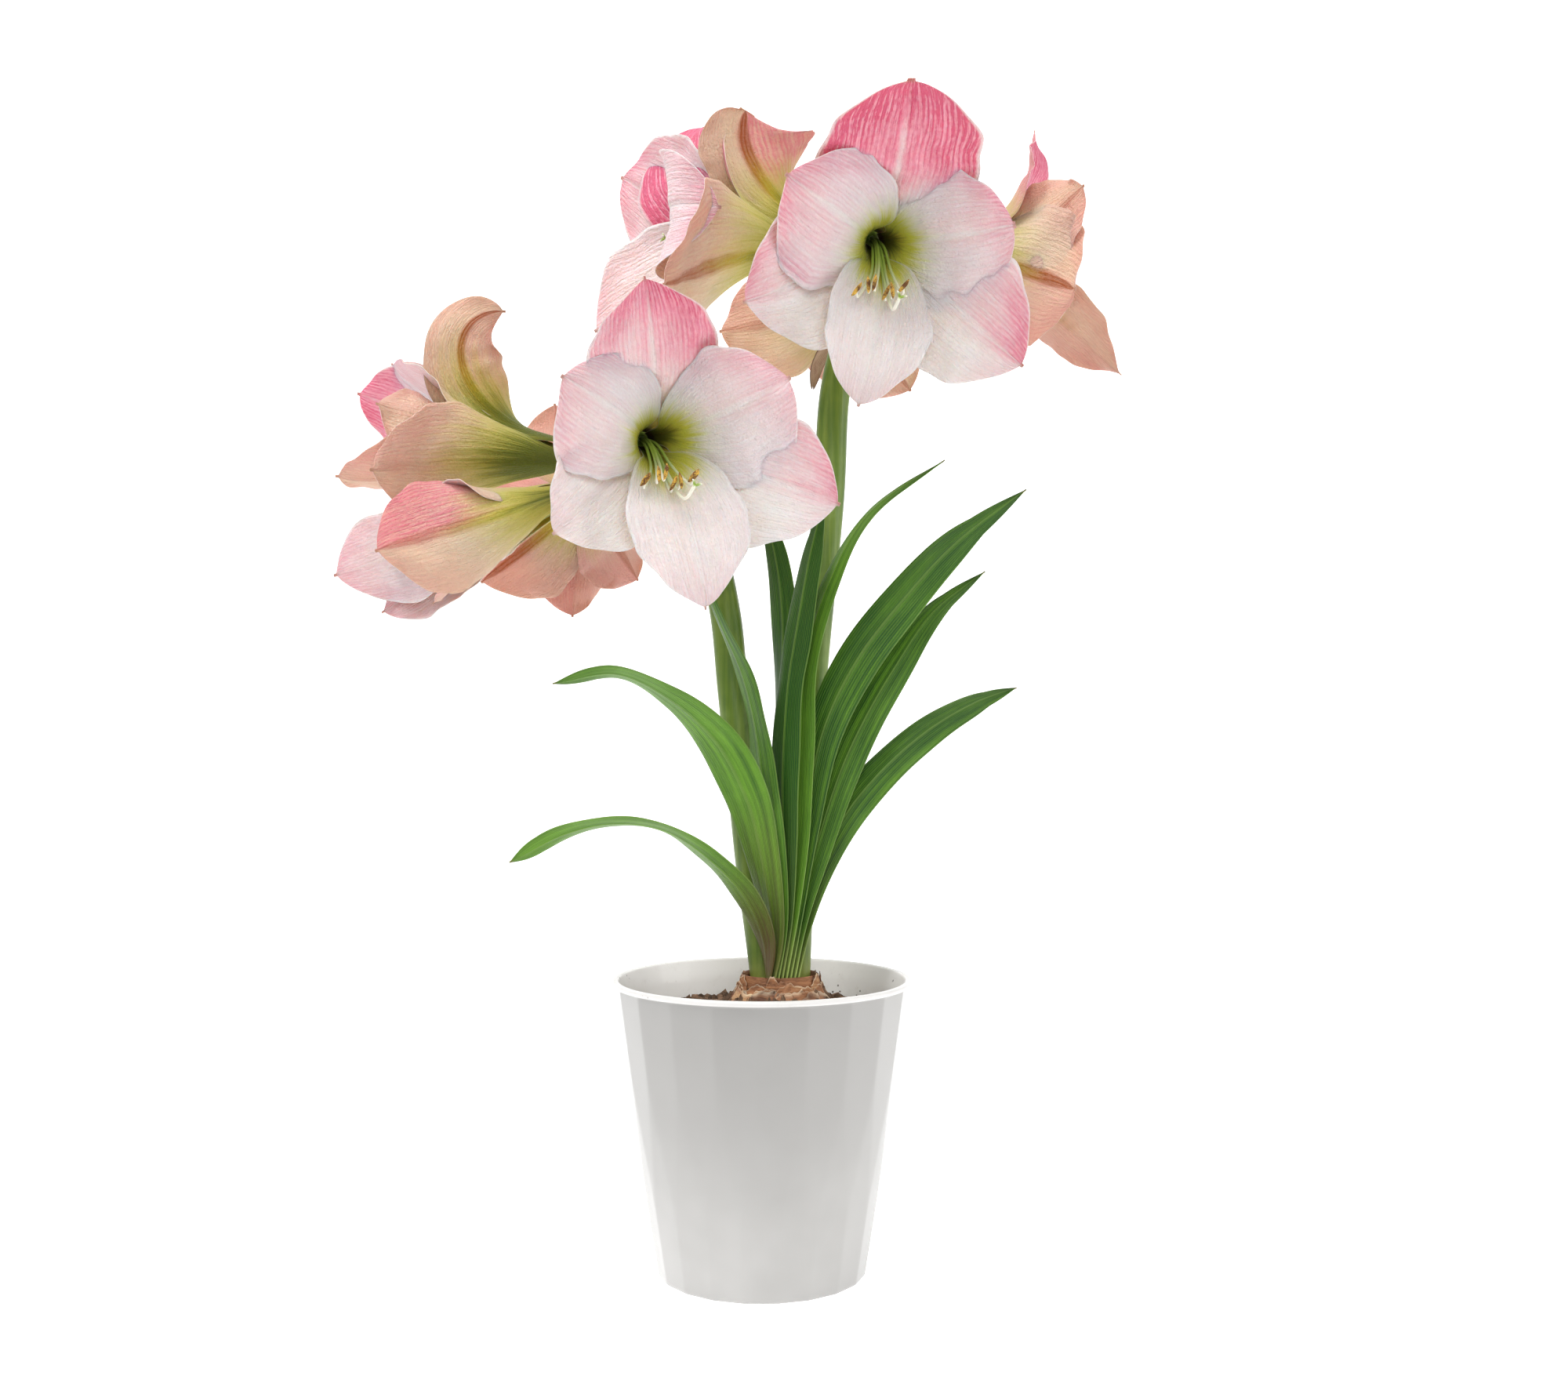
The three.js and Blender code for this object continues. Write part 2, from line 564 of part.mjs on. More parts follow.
// Grid of points over a tepal. Its midrib leaves the tube wall and bends outwards by the flare, and
// across it the blade is an arc that follows the tube near the throat and its own cup further out.
function tepalGrid(bloom, tepal, rows, cols) {
  const [turn, length, halfWidth, flare, options] = tepal;
  const { right, up, axis } = bloomFrame(bloom.faces);
  const drift = options.drift ?? [0, 0, 0];
  const twist = options.twist ?? [0, 0, 0];
  const skew = options.skew ?? 0;
  const cup = options.cup ?? EVEN_CUP;
  const [amp, cycles, phase] = options.wave ?? [2, 3, 0];
  const hold = options.hold ?? [0.18, 0.62];
  const outward = add(mul(right, Math.cos(rad(turn))), mul(up, Math.sin(rad(turn))));
  const across = sub(mul(up, Math.cos(rad(turn))), mul(right, Math.sin(rad(turn))));
  const fine = 24;
  const spine = [];
  let radius = TUBE_RADIUS + (options.inner ? -0.4 : 0.4);
  let rise = 0;
  let side = 0;
  for (let i = 0; i <= fine; i += 1) {
    if (i > 0) {
      const half = (k) => [rad(curve(flare, k)), rad(curve(drift, k))];
      const [f0, d0] = half((i - 1) / fine);
      const [f1, d1] = half(i / fine);
      const step = length / fine / 2;
      radius += step * (Math.sin(f0) * Math.cos(d0) + Math.sin(f1) * Math.cos(d1));
      rise += step * (Math.cos(f0) * Math.cos(d0) + Math.cos(f1) * Math.cos(d1));
      side += step * (Math.sin(d0) + Math.sin(d1));
    }
    const point = add(add(mul(outward, radius), mul(axis, rise)), mul(across, side));
    spine.push({ point: add(bloom.at, point), radius });
  }
  const grid = [];
  for (let i = 0; i <= rows; i += 1) {
    const s = 1 - (1 - i / rows) ** 1.15;
    const f = s * fine;
    const n = Math.min(fine - 1, Math.floor(f));
    const point = add(mul(spine[n].point, 1 - (f - n)), mul(spine[n + 1].point, f - n));
    const r = mix(spine[n].radius, spine[n + 1].radius, f - n);
    const m = Math.min(fine, n + 1);
    const tangent = unit(sub(spine[Math.min(fine, m + 1)].point, spine[Math.max(0, m - 1)].point));
    const flat = unit(sub(across, mul(tangent, dot(across, tangent))));
    const inward = cross(tangent, flat);
    const a = rad(curve(twist, s));
    const wide = add(mul(flat, Math.cos(a)), mul(inward, Math.sin(a)));
    const deep = sub(mul(inward, Math.cos(a)), mul(flat, Math.sin(a)));
    const outline = i === rows ? 0
      : Math.sin(Math.PI * s ** (options.neck ?? 1.6)) ** (options.point ?? 0.75);
    const blend = smooth(0.1, 0.34, s);
    const half = i === rows ? 0 : halfWidth * outline * blend + ((1.2 * Math.PI * r) / 6) * (1 - blend);
    const grown = smooth(hold[0], hold[1], s);
    const tubeBend = Math.cos(rad(curve(flare, s))) / r;
    let bend = mix(tubeBend, curve(cup, s) / (2 * halfWidth), grown);
    if (Math.abs(bend) < 1e-4) bend = 1e-4;
    const row = [];
    for (let j = 0; j <= cols; j += 1) {
      const v = (2 * j) / cols - 1;
      const d = (v + skew * v * v) * half;
      const ripple = amp * v * v * smooth(0.3, 0.75, s) * Math.min(1, half / 8)
        * Math.sin(2 * Math.PI * cycles * s + phase + Math.sign(v) * 1.7);
      const lift = (1 - Math.cos(bend * d)) / bend + ripple;
      row.push(add(point, add(mul(wide, Math.sin(bend * d) / bend), mul(deep, lift))));
    }
    grid.push(row);
  }
  return grid;
}

function bloomSolid(bloom, thickness) {
  let body = null;
  for (const tepal of bloom.tepals) {
    const solid = toManifold(blade(tepalGrid(bloom, tepal, bloom.rows ?? 5, 4), () => thickness));
    body = body ? body.add(solid) : solid;
  }
  return body;
}

// Six filaments and a style leave one small ring that stands on the ovary inside the tube, sag towards
// the lower tepals and turn up at their ends; each filament carries an anther lying across it.
function makeStamens(bloom) {
  const { right, up, axis } = bloomFrame(bloom.faces);
  const sag = bloom.sag ?? 1;
  const swing = bloom.swing ?? 0;
  const place = (u, v, w) => {
    const sideways = mul(right, u + swing * (w / 80) ** 2);
    return add(bloom.at, add(add(sideways, mul(up, v)), mul(axis, w)));
  };
  let body = toManifold(rod([place(0, 0, SEAT_GAP - MOUTH_GAP), place(0, 0, 3.2)], [2, 2], 5, 1));
  for (let i = 0; i < 6; i += 1) {
    const a = (2 * Math.PI * (i + 0.5)) / 6;
    const spread = Math.cos(a);
    const height = Math.sin(a);
    const reach = 68 + 5 * height;
    const path = [
      place(1.3 * spread, 1.3 * height, 2.4),
      place(2.6 * spread, -2 * sag + 1.6 * height, 24),
      place(4.5 * spread, -9 * sag + 2.5 * height, 48),
      place(7.5 * spread * sag, -15.5 * sag + 3 * height, reach),
      place(8 * spread * sag, -12 * sag + 3 * height, reach + 8),
    ];
    body = body.add(toManifold(rod(path, [0.85, 0.75, 0.7, 0.65, 0.5], 3, 3)));
    const tip = path[4];
    const lie = unit(add(up, mul(right, 0.3 + 0.5 * Math.cos(i * 1.9))));
    body = body.add(toManifold(spindle(tip, mul(lie, 3.4), 1.5)));
  }
  const style = [
    place(0, 0, 2.4), place(0, -3.5 * sag, 26), place(2, -12.5 * sag, 56), place(7, -19.5 * sag, 80),
    place(11, -14 * sag, 92),
  ];
  body = body.add(toManifold(rod(style, [0.9, 0.8, 0.75, 0.75, 1.5], 3, 4)));
  return wholeBody(body, 0.1);
}

// ---------------------------------------------------------------- leaves

// Each strap leaf: points of its midrib, widths and turns of the blade read along it. A turn of 0
// has the blade's width run from front to back, and 90 shows its full face to the front.
const LEAVES = {
  a: {
    path: [
      [3.9, -8.8, 153.5], [2.2, -13, 180], [-8, -19, 204], [-26, -21, 224], [-50, -24, 240], [-77, -27, 244],
      [-104, -30, 238], [-131, -34, 223],
    ],
    widths: [10.5, 15, 17, 18, 18, 17, 15, 7],
    turns: [0, 40, 50, 32, 20, 18, 34, 50],
  },
  b: {
    path: [
      [6, -9.4, 153], [7, -12.8, 187], [-2, -17, 236], [-10, -19, 262], [-24, -21, 287], [-46, -24, 308],
      [-76, -27, 322], [-109, -30, 316],
    ],
    widths: [10.5, 15, 21, 25, 25, 20, 14, 5],
    turns: [0, 40, 75, 70, 60, 35, 28, 40],
  },
  c: {
    path: [
      [8.1, -9.6, 153], [9.7, -12, 190], [6, -14, 232], [1.5, -14, 266], [-2.5, -13, 295], [-9.5, -12, 322],
      [-22, -12, 350], [-34, -14, 380],
    ],
    widths: [10.5, 14, 17, 19, 18, 16, 11, 3],
    turns: [0, 36, 50, 42, 34, 30, 26, 30],
  },
  d: {
    path: [
      [9.5, 6, 152.6], [10.5, 7, 202], [11, 8, 239], [12, 10, 277], [12, 13, 315], [12, 16, 353],
      [7, 18, 390], [-5, 20, 424],
    ],
    widths: [9, 12, 15, 18, 18, 18, 14, 3],
    turns: [0, 5, 10, 20, 35, 50, 55, 55],
  },
  e: {
    path: [
      [10.2, -9.6, 153], [12.3, -12, 192], [12.5, -13.5, 234], [12.5, -14, 270], [15, -15, 312],
      [20, -16, 345], [27, -16, 385], [33, -16, 413],
    ],
    widths: [10.5, 14, 18, 20, 20, 20, 17, 3],
    turns: [0, 36, 45, 45, 42, 42, 40, 40],
  },
  f: {
    path: [
      [12.3, -9.6, 153], [15.5, -11.5, 195], [19, -12, 236], [21, -13, 280], [24, -15, 326], [36.5, -18, 369],
      [58, -22, 406], [96, -27, 433],
    ],
    widths: [10.5, 14, 17, 18, 16, 13, 10, 3],
    turns: [0, 38, 48, 48, 45, 40, 30, 25],
  },
  g: {
    path: [
      [14.4, -9.6, 153], [17.8, -10.4, 195], [24, -10, 243], [33, -11, 290], [51, -13, 328], [76, -16, 361],
      [104, -20, 391], [139, -24, 418],
    ],
    widths: [10.5, 13, 17, 21, 24, 22, 17, 3],
    turns: [0, 42, 60, 70, 76, 78, 75, 70],
  },
  h: {
    path: [
      [16.5, -9.6, 153], [19.8, -9, 190], [29.5, -7.5, 228], [41.5, -6.5, 266], [55, -6, 296],
      [72.5, -6, 326], [92, -7, 354], [119, -9, 376],
    ],
    widths: [10.5, 13, 17, 20, 20, 18, 13, 3],
    turns: [0, 45, 66, 72, 72, 70, 65, 60],
  },
  i: {
    path: [
      [18.2, -9.2, 153], [21.6, -7, 186], [31, -5, 218], [47, -3, 248], [68, -2, 272], [90.5, -2, 291],
      [114, -4, 305], [136, -8, 314],
    ],
    widths: [10.5, 13, 17, 20, 20, 18, 14, 3],
    turns: [0, 45, 66, 70, 66, 60, 55, 50],
  },
};

function makeLeaf(leaf) {
  const rows = 14;
  const cols = 2;
  const grid = [];
  for (let i = 0; i <= rows; i += 1) {
    const t = i / rows;
    const centre = pathPoint(leaf.path, t);
    const tangent = pathTangent(leaf.path, t);
    const back = unit(sub([0, 1, 0], mul(tangent, tangent[1])));
    const side = cross(tangent, back);
    const a = rad(curve(leaf.turns, t));
    const wide = add(mul(back, Math.cos(a)), mul(side, Math.sin(a)));
    const deep = sub(mul(side, Math.cos(a)), mul(back, Math.sin(a)));
    const half = i === rows ? 0 : curve(leaf.widths, t) / 2;
    const row = [];
    for (let j = 0; j <= cols; j += 1) {
      const v = (2 * j) / cols - 1;
      row.push(add(centre, add(mul(wide, v * half), mul(deep, 0.12 * half * (1 - v * v)))));
    }
    grid.push(row);
  }
  return wholeBody(toManifold(blade(grid, (t) => mix(LEAF_THICKNESS, 0.8, t))));
}

// ---------------------------------------------------------------- spathe bracts

const BRACTS = {
  left_1: { from: [-46.3, 12.5, 417.1], out: [0.1, -0.9, -0.4], length: 46 },
  left_2: { from: [-45.1, 31.1, 418.7], out: [0.5, 0.8, -0.3], length: 50 },
  right_1: { from: [39, 22.4, 506.6], out: [-0.5, 0.8, -0.3], length: 34 },
  right_2: { from: [52.5, 21.6, 504.1], out: [0.5, 0.8, -0.4], length: 34 },
};

function makeBract({ from, out, length }) {
  const rows = 6;
  const cols = 2;
  const lead = unit(out);
  const wide = unit(cross(lead, [0, 0, 1]));
  const grid = [];
  for (let i = 0; i <= rows; i += 1) {
    const t = i / rows;
    const drop = [0, 0, -0.5 * length * t * t];
    const centre = add(from, add(mul(lead, length * t * (1 - 0.35 * t)), drop));
    const half = i === rows ? 0 : 6.5 * (1 - t) ** 0.6 * (0.6 + 0.9 * t);
    const row = [];
    for (let j = 0; j <= cols; j += 1) {
      const v = (2 * j) / cols - 1;
      row.push(add(centre, add(mul(wide, v * half), [0, 0, -1.6 * v * v])));
    }
    grid.push(row);
  }
  return wholeBody(toManifold(blade(grid, () => 0.8)));
}

// ---------------------------------------------------------------- assembly

const group = new THREE.Group();

function place(name, geometry, color, roughness) {
  const material = new THREE.MeshStandardMaterial({ color, roughness, metalness: 0 });
  const mesh = new THREE.Mesh(geometry, material);
  mesh.name = name;
  group.add(mesh);
}

place('pot', makePot(), 0xe8e6e2, 0.25);
place('soil', makeSoil(), 0x2f231b, 0.95);
place('bulb', makeBulb(), 0x8a5a33, 0.7);
for (const side of Object.keys(STALKS)) {
  place(`stalk_${side}`, makeStalk(side), 0x5f7f3a, 0.5);
}
for (const [name, bloom] of Object.entries(BLOOMS)) {
  place(`bloom_${name}`, wholeBody(bloomSolid(bloom, TEPAL_THICKNESS), 0.1), 0xf3dcd8, 0.55);
  place(`stamens_${name}`, makeStamens(bloom), 0xe9e6c4, 0.5);
}
for (const [name, leaf] of Object.entries(LEAVES)) {
  place(`leaf_${name}`, makeLeaf(leaf), 0x3c6b34, 0.5);
}
for (const [name, bract] of Object.entries(BRACTS)) {
  place(`bract_${name}`, makeBract(bract), 0xb39a78, 0.8);
}

export default group;
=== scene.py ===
"""Amaryllis in a pot: the looks of each piece, built round the packed solids.

Sizes inside the formulas are millimetres, in the part's own frame (+Z up, front faces -Y), and become
metres when a mesh is made. Every new piece is a grid of two parameters worked out as whole arrays.
"""

import math

import bpy
import numpy as np
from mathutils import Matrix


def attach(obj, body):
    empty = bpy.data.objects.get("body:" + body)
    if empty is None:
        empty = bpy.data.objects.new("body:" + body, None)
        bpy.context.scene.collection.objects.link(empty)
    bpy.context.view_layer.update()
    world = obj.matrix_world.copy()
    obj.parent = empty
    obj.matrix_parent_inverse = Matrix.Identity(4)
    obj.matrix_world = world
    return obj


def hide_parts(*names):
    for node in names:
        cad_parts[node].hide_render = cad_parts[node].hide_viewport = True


bl_info = {
    "name": "Potted Amaryllis",
    "version": (1, 0, 0),
    "blender": (4, 5, 0),
    "location": "View3D > Sidebar > Amaryllis",
    "description": "Builds the blooms, leaves, stalks, bulb, soil, pot and stage of an amaryllis",
    "category": "Add Mesh",
}

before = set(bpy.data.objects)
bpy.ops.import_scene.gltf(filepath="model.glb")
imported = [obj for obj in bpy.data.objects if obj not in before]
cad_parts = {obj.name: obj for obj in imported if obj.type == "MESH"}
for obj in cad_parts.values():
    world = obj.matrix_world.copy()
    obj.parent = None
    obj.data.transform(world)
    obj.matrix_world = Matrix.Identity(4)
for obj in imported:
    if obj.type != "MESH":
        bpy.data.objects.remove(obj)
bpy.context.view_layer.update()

MM = 0.001

# ---------------------------------------------------------------- driving dimensions

POT_HEIGHT = 158.0
POT_SIDES = 20
RIM_RADIUS = 80.5
RIM_HEIGHT = 2.0
RIM_INNER_RADIUS = 76.8
TIER_CROSS_HEIGHT = 72.0
TIER_CROSS_APOTHEM = 66.4
UPPER_TIER_SLOPE = 0.135
LOWER_TIER_SLOPE = 0.16
WALL_INNER_TOP = 75.4
WALL_INNER_FOOT = 53.0
FLOOR_THICKNESS = 4.0
HUB_RADIUS = 20.0
CLEARANCE = 0.6
BULB_X = 9.5
NECK_TOP = 161.0
NECK_WIDE = 21.0
NECK_DEEP = 19.1
PIT_FLOOR = 152.0
TUBE_RADIUS = 4.5
MOUTH_GAP = 0.4
OVARY_LENGTH = 15.0
HOOK_SHARE = 0.011
THROAT_OVERLAP = 1.45
SPINE_STEPS = 240
FILAMENTS = 6
FILAMENT_REACH = 68.0
SOIL_LEVEL = 136.0
SOIL_AT_WALL = 134.0
HEAP_HEIGHT = 16.0
BULB_FOOT = 78.0
TURN = 2 * math.pi

# The bulb's outer skin from its base plate to the neck: (radius, height).
BULB_PROFILE = ((14, 78), (29, 88), (37.5, 103), (39, 117), (36, 130), (29.5, 143), (22.5, 153))

# Across a tepal, its cup is the curve as a share of one over its width, read from base to tip, and hold
# is the stretch of its length over which that cup takes over from the curve of the tube.
EVEN_CUP = (1, 1, 0.6, 0.3, 0.6)
FOLD_CUP = (1, 1, 0.8, -0.3, -0.8)
ROUND_CUP = (1, 1, 0.9, 0.6, 0.6)
EARLY = (0.18, 0.62)
LATE = (0.3, 0.85)

# What holds for a tepal and for a bloom whose own entry below doesn't say otherwise.
PLAIN_TEPAL = dict(
    inner=False, cup=EVEN_CUP, hold=EARLY, drift=(0, 0, 0), twist=(0, 0, 0), skew=0, neck=1.6, point=0.75,
    wave=(2, 3, 0), flush=0.35, lean=0.0, blush=0.25,
)
PLAIN_BLOOM = dict(sag=1, swing=0, tube=0.5, tan=0.0)

# A tepal of the inner ring that stays folded about its bloom's axis.
TUCKED = dict(inner=True, cup=(1, 1, 1.6, 1.6, 1.4), hold=(0.45, 0.95))


def late(cup=ROUND_CUP, **options):
    """Options of a tepal that keeps to the tube and takes its own cup far out."""
    return dict(cup=cup, hold=LATE, **options)


# Each bloom: where its tube begins, the way it faces, how far its stamens sag and swing aside, how far
# the green of its tube reaches, how tan its outer faces are, and its six tepals.
# A tepal is (turn about the axis, length, half width, flare knots, options); flare is the angle between
# the tepal and the bloom's axis. The options that shape it are inner (in the inner ring), cup and
# hold, drift (the angle out of its own plane), twist (the turn of the blade about its midrib), skew (the
# share by which one side is wider), neck (how far out its widest place lies), point (how blunt its
# outline is) and wave (height, number and start of its margin's waves). The others give its looks:
# flush is the pink of the inner face and lean the side that is pinker, blush the pink of the outer face
# and rib its brown-red midrib.
BLOOMS = {
    "left_1": {
        "at": (-64, -10, 446),
        "faces": (0.32, -0.93, -0.17),
        "sag": 1.3,
        "swing": -5,
        "tepals": [
            (105, 117, 35, (12, 24, 50, 66, 78), dict(point=0.85, flush=1.0, lean=-0.35)),
            (33, 107, 38, (10, 16, 40, 58, 96),
             dict(inner=True, skew=-0.15, neck=2.0, cup=FOLD_CUP, wave=(2.5, 2.5, 0.5), flush=0.42,
                  lean=0.4)),
            (-17, 123, 36, (12, 26, 52, 64, 80), dict(flush=0.5, lean=1.0)),
            (-79, 128, 31, (10, 16, 40, 66, 100),
             dict(inner=True, cup=(1, 1, 0.8, -0.2, -0.2), point=0.85, flush=0.16)),
            (218, 103, 31, (12, 26, 50, 68, 80), dict(flush=0.15, lean=-1.0)),
            (152, 104, 33, (10, 14, 40, 68, 100),
             dict(inner=True, skew=0.15, neck=2.0, cup=(1, 1, 0.8, -0.5, -1), flush=0.35)),
        ],
    },
    "left_2": {
        "at": (-91, 12, 438),
        "faces": (-0.97, -0.1, 0.05),
        "sag": 0.3,
        "tube": 1.6,
        "tan": 0.1,
        "tepals": [
            (86, 133, 22, (16, 15, 12, 25, 44, 64, 95, 140, 185),
             late(twist=(0, -10, -75, -90, -90), cup=(1, 1, 0.9, 0.7, 0.7), rib=1.0)),
            (32, 120, 34, (7, 9, 13, 20, 28), TUCKED),
            (-24, 122, 34, (10, 13, 18, 22, 28), late(rib=0.15)),
            (-62, 138, 32, (7, 9, 10, 6, -4), TUCKED),
            (160, 150, 32, (8, 12, 26, 32, 34), late(drift=(0, -4, -8, -8, -8), flush=1.0)),
            (122, 132, 34, (6, 10, 24, 38, 56), late(inner=True)),
        ],
    },
    "left_3": {
        "at": (-94, -24.5, 418.5),
        "faces": (-0.93, -0.08, -0.37),
        "sag": 0.35,
        "tube": 0.4,
        "tan": 0.25,
        "tepals": [
            (5, 114, 33, (13, 16, 18, 21, 22), late(cup=(1, 1, 1, 1, 1.2), rib=0.5, blush=1.0)),
            (60, 98, 31, (6, 8, 11, 14, 16), TUCKED),
            (134, 84, 32, (13, 12, 10, 8, 8), late()),
            (168, 145.4, 30, (6, 10, 15, 18, 18), TUCKED),
            (208, 130, 23, (13, 15, 17, 18, 20), late()),
            (-95, 98, 28, (6, 9, 14, 19, 24), TUCKED),
        ],
    },
    "left_4": {
        "at": (-90, 40, 430),
        "faces": (-0.42, 0.82, -0.32),
        "tan": 1.0,
        "tepals": [
            (85, 86, 27, (12, 28, 60, 84, 110), {}),
            (25, 96, 30, (8, 15, 32, 54, 80), TUCKED),
            (-33, 95, 32, (12, 24, 40, 54, 60), late(rib=1.0)),
            (-90, 92, 27, (8, 15, 34, 56, 78), TUCKED),
            (-140, 80, 28, (12, 24, 40, 54, 64), late(rib=0.6)),
            (150, 90, 30, (8, 15, 32, 54, 80), TUCKED),
        ],
    },
    "right_1": {
        "at": (59, -5, 554),
        "faces": (0.14, -0.93, -0.34),
        "sag": 1.3,
        "swing": -10,
        "tepals": [
            (91, 119, 42, (12, 24, 50, 64, 74), dict(point=0.62, cup=(1, 1, 0.6, 0.3, 0.5), flush=1.6)),
            (16, 98, 38, (10, 16, 40, 58, 96),
             dict(inner=True, skew=-0.1, neck=1.8, point=0.65, cup=FOLD_CUP, wave=(1.8, 2.5, 0.5),
                  flush=0.45, lean=0.3)),
            (-38, 119, 36, (12, 26, 52, 64, 80), dict(flush=0.6, lean=1.0)),
            (-103, 120, 28, (10, 16, 40, 66, 96), dict(inner=True, cup=(1, 1, 0.9, 0.5, 0.5), flush=0.12)),
            (199, 110, 36, (12, 26, 50, 70, 84), dict(flush=0.45, lean=-1.0)),
            (148, 111, 36, (10, 14, 40, 64, 92),
             dict(inner=True, skew=0.1, neck=1.8, cup=(1, 1, 0.8, -0.5, -1), flush=0.5)),
        ],
    },
    "right_2": {
        "at": (33, 22, 558),
        "faces": (-0.95, -0.22, 0.03),
        "sag": 0.5,
        "tube": 0.8,
        "tepals": [
            (84, 84, 36, (14, 30, 40, 40, 48, 58, 68, 84, 110),
             late(twist=(0, -45, -78, -82, -82), skew=0.25, neck=1.9, point=0.42, cup=(1, 1, 0.8, 0.5, 0.4),
                  rib=1.0, blush=0.9)),
            (2, 134, 36, (8, 10, 13, 16, 19, 26, 78, 165, 185),
             late(inner=True, cup=(1, 1, 1, 0.8, 0.4), flush=0.4)),
            (-38, 118, 45, (10, 25, 36, 43, 48), late(cup=(1, 1, 0.6, 0.3, 0.3), rib=0.8)),
            (-118, 134, 40, (8, 16, 28, 34, 30), late(inner=True, twist=(0, 0, -20, -45, -50), flush=0.3)),
            (168, 136, 40, (10, 20, 38, 52, 58), late(drift=(0, -6, -16, -20, -20), flush=0.5)),
            (120, 126.4, 36, (8, 19, 44, 82, 150), late(inner=True, twist=(0, 0, 20, 40, 40), flush=2.2)),
        ],
    },
    "right_3": {
        "at": (93, 18, 559),
        "faces": (0.85, 0.48, -0.1),
        "tan": 0.4,
        "tepals": [
            (90, 108, 30, (12, 20, 22, 30, 46, 60, 74, 90, 108),
             late(twist=(0, -10, -36, -46, -46), cup=(1, 1, 1, 0.8, 1), flush=1.7, blush=1.0)),
            (30, 104, 32, (8, 15, 34, 56, 78), TUCKED),
            (-35, 108, 34, (10, 22, 44, 60, 70), {}),
            (-125, 130, 21, (8, 20, 38, 50, 46), late(inner=True, point=1.1)),
            (205, 88, 40, (10, 22, 38, 60, 96), late(rib=1.0)),
            (148, 92, 30, (8, 20, 42, 64, 96), late(inner=True, rib=0.5)),
        ],
    },
    "right_4": {
        "at": (46, 50, 538),
        "faces": (0.02, 0.98, -0.05),
        "tepals": [
            (90, 96, 32, (12, 24, 46, 62, 84), dict(flush=0.8)),
            (35, 96, 30, (8, 15, 32, 54, 80), TUCKED),
            (-3, 108, 36, (12, 24, 46, 60, 74), dict(flush=0.5)),
            (-80, 84, 28, (7, 13, 24, 38, 54), TUCKED),
            (228, 84, 30, (12, 24, 46, 62, 84), dict(flush=0.5)),
            (155, 96, 30, (8, 15, 32, 54, 80), TUCKED),
        ],
    },
}

# Each stalk: points of its scape from the bulb to the umbel, and the scape's radii along them.
STALKS = {
    "left": {
        "path": [(1.2, 4.2, 153), (-2, 6, 185), (-6, 9, 219), (-10.5, 11, 262), (-16, 13, 313),
                 (-20.5, 15, 356), (-30, 19, 394), (-48, 22, 424)],
        "radii": (7.0, 8.0, 8.6, 8.6, 8.5, 8.4, 8.2, 7.6),
    },
    "right": {
        "path": [(18.8, 4.5, 153), (19.5, 7.4, 194), (22.5, 10, 262), (28, 11, 334), (36, 13, 415),
                 (39, 15, 470), (46, 17, 508)],
        "radii": (7.0, 8.0, 8.6, 8.6, 8.5, 8.3, 7.6),
    },
}

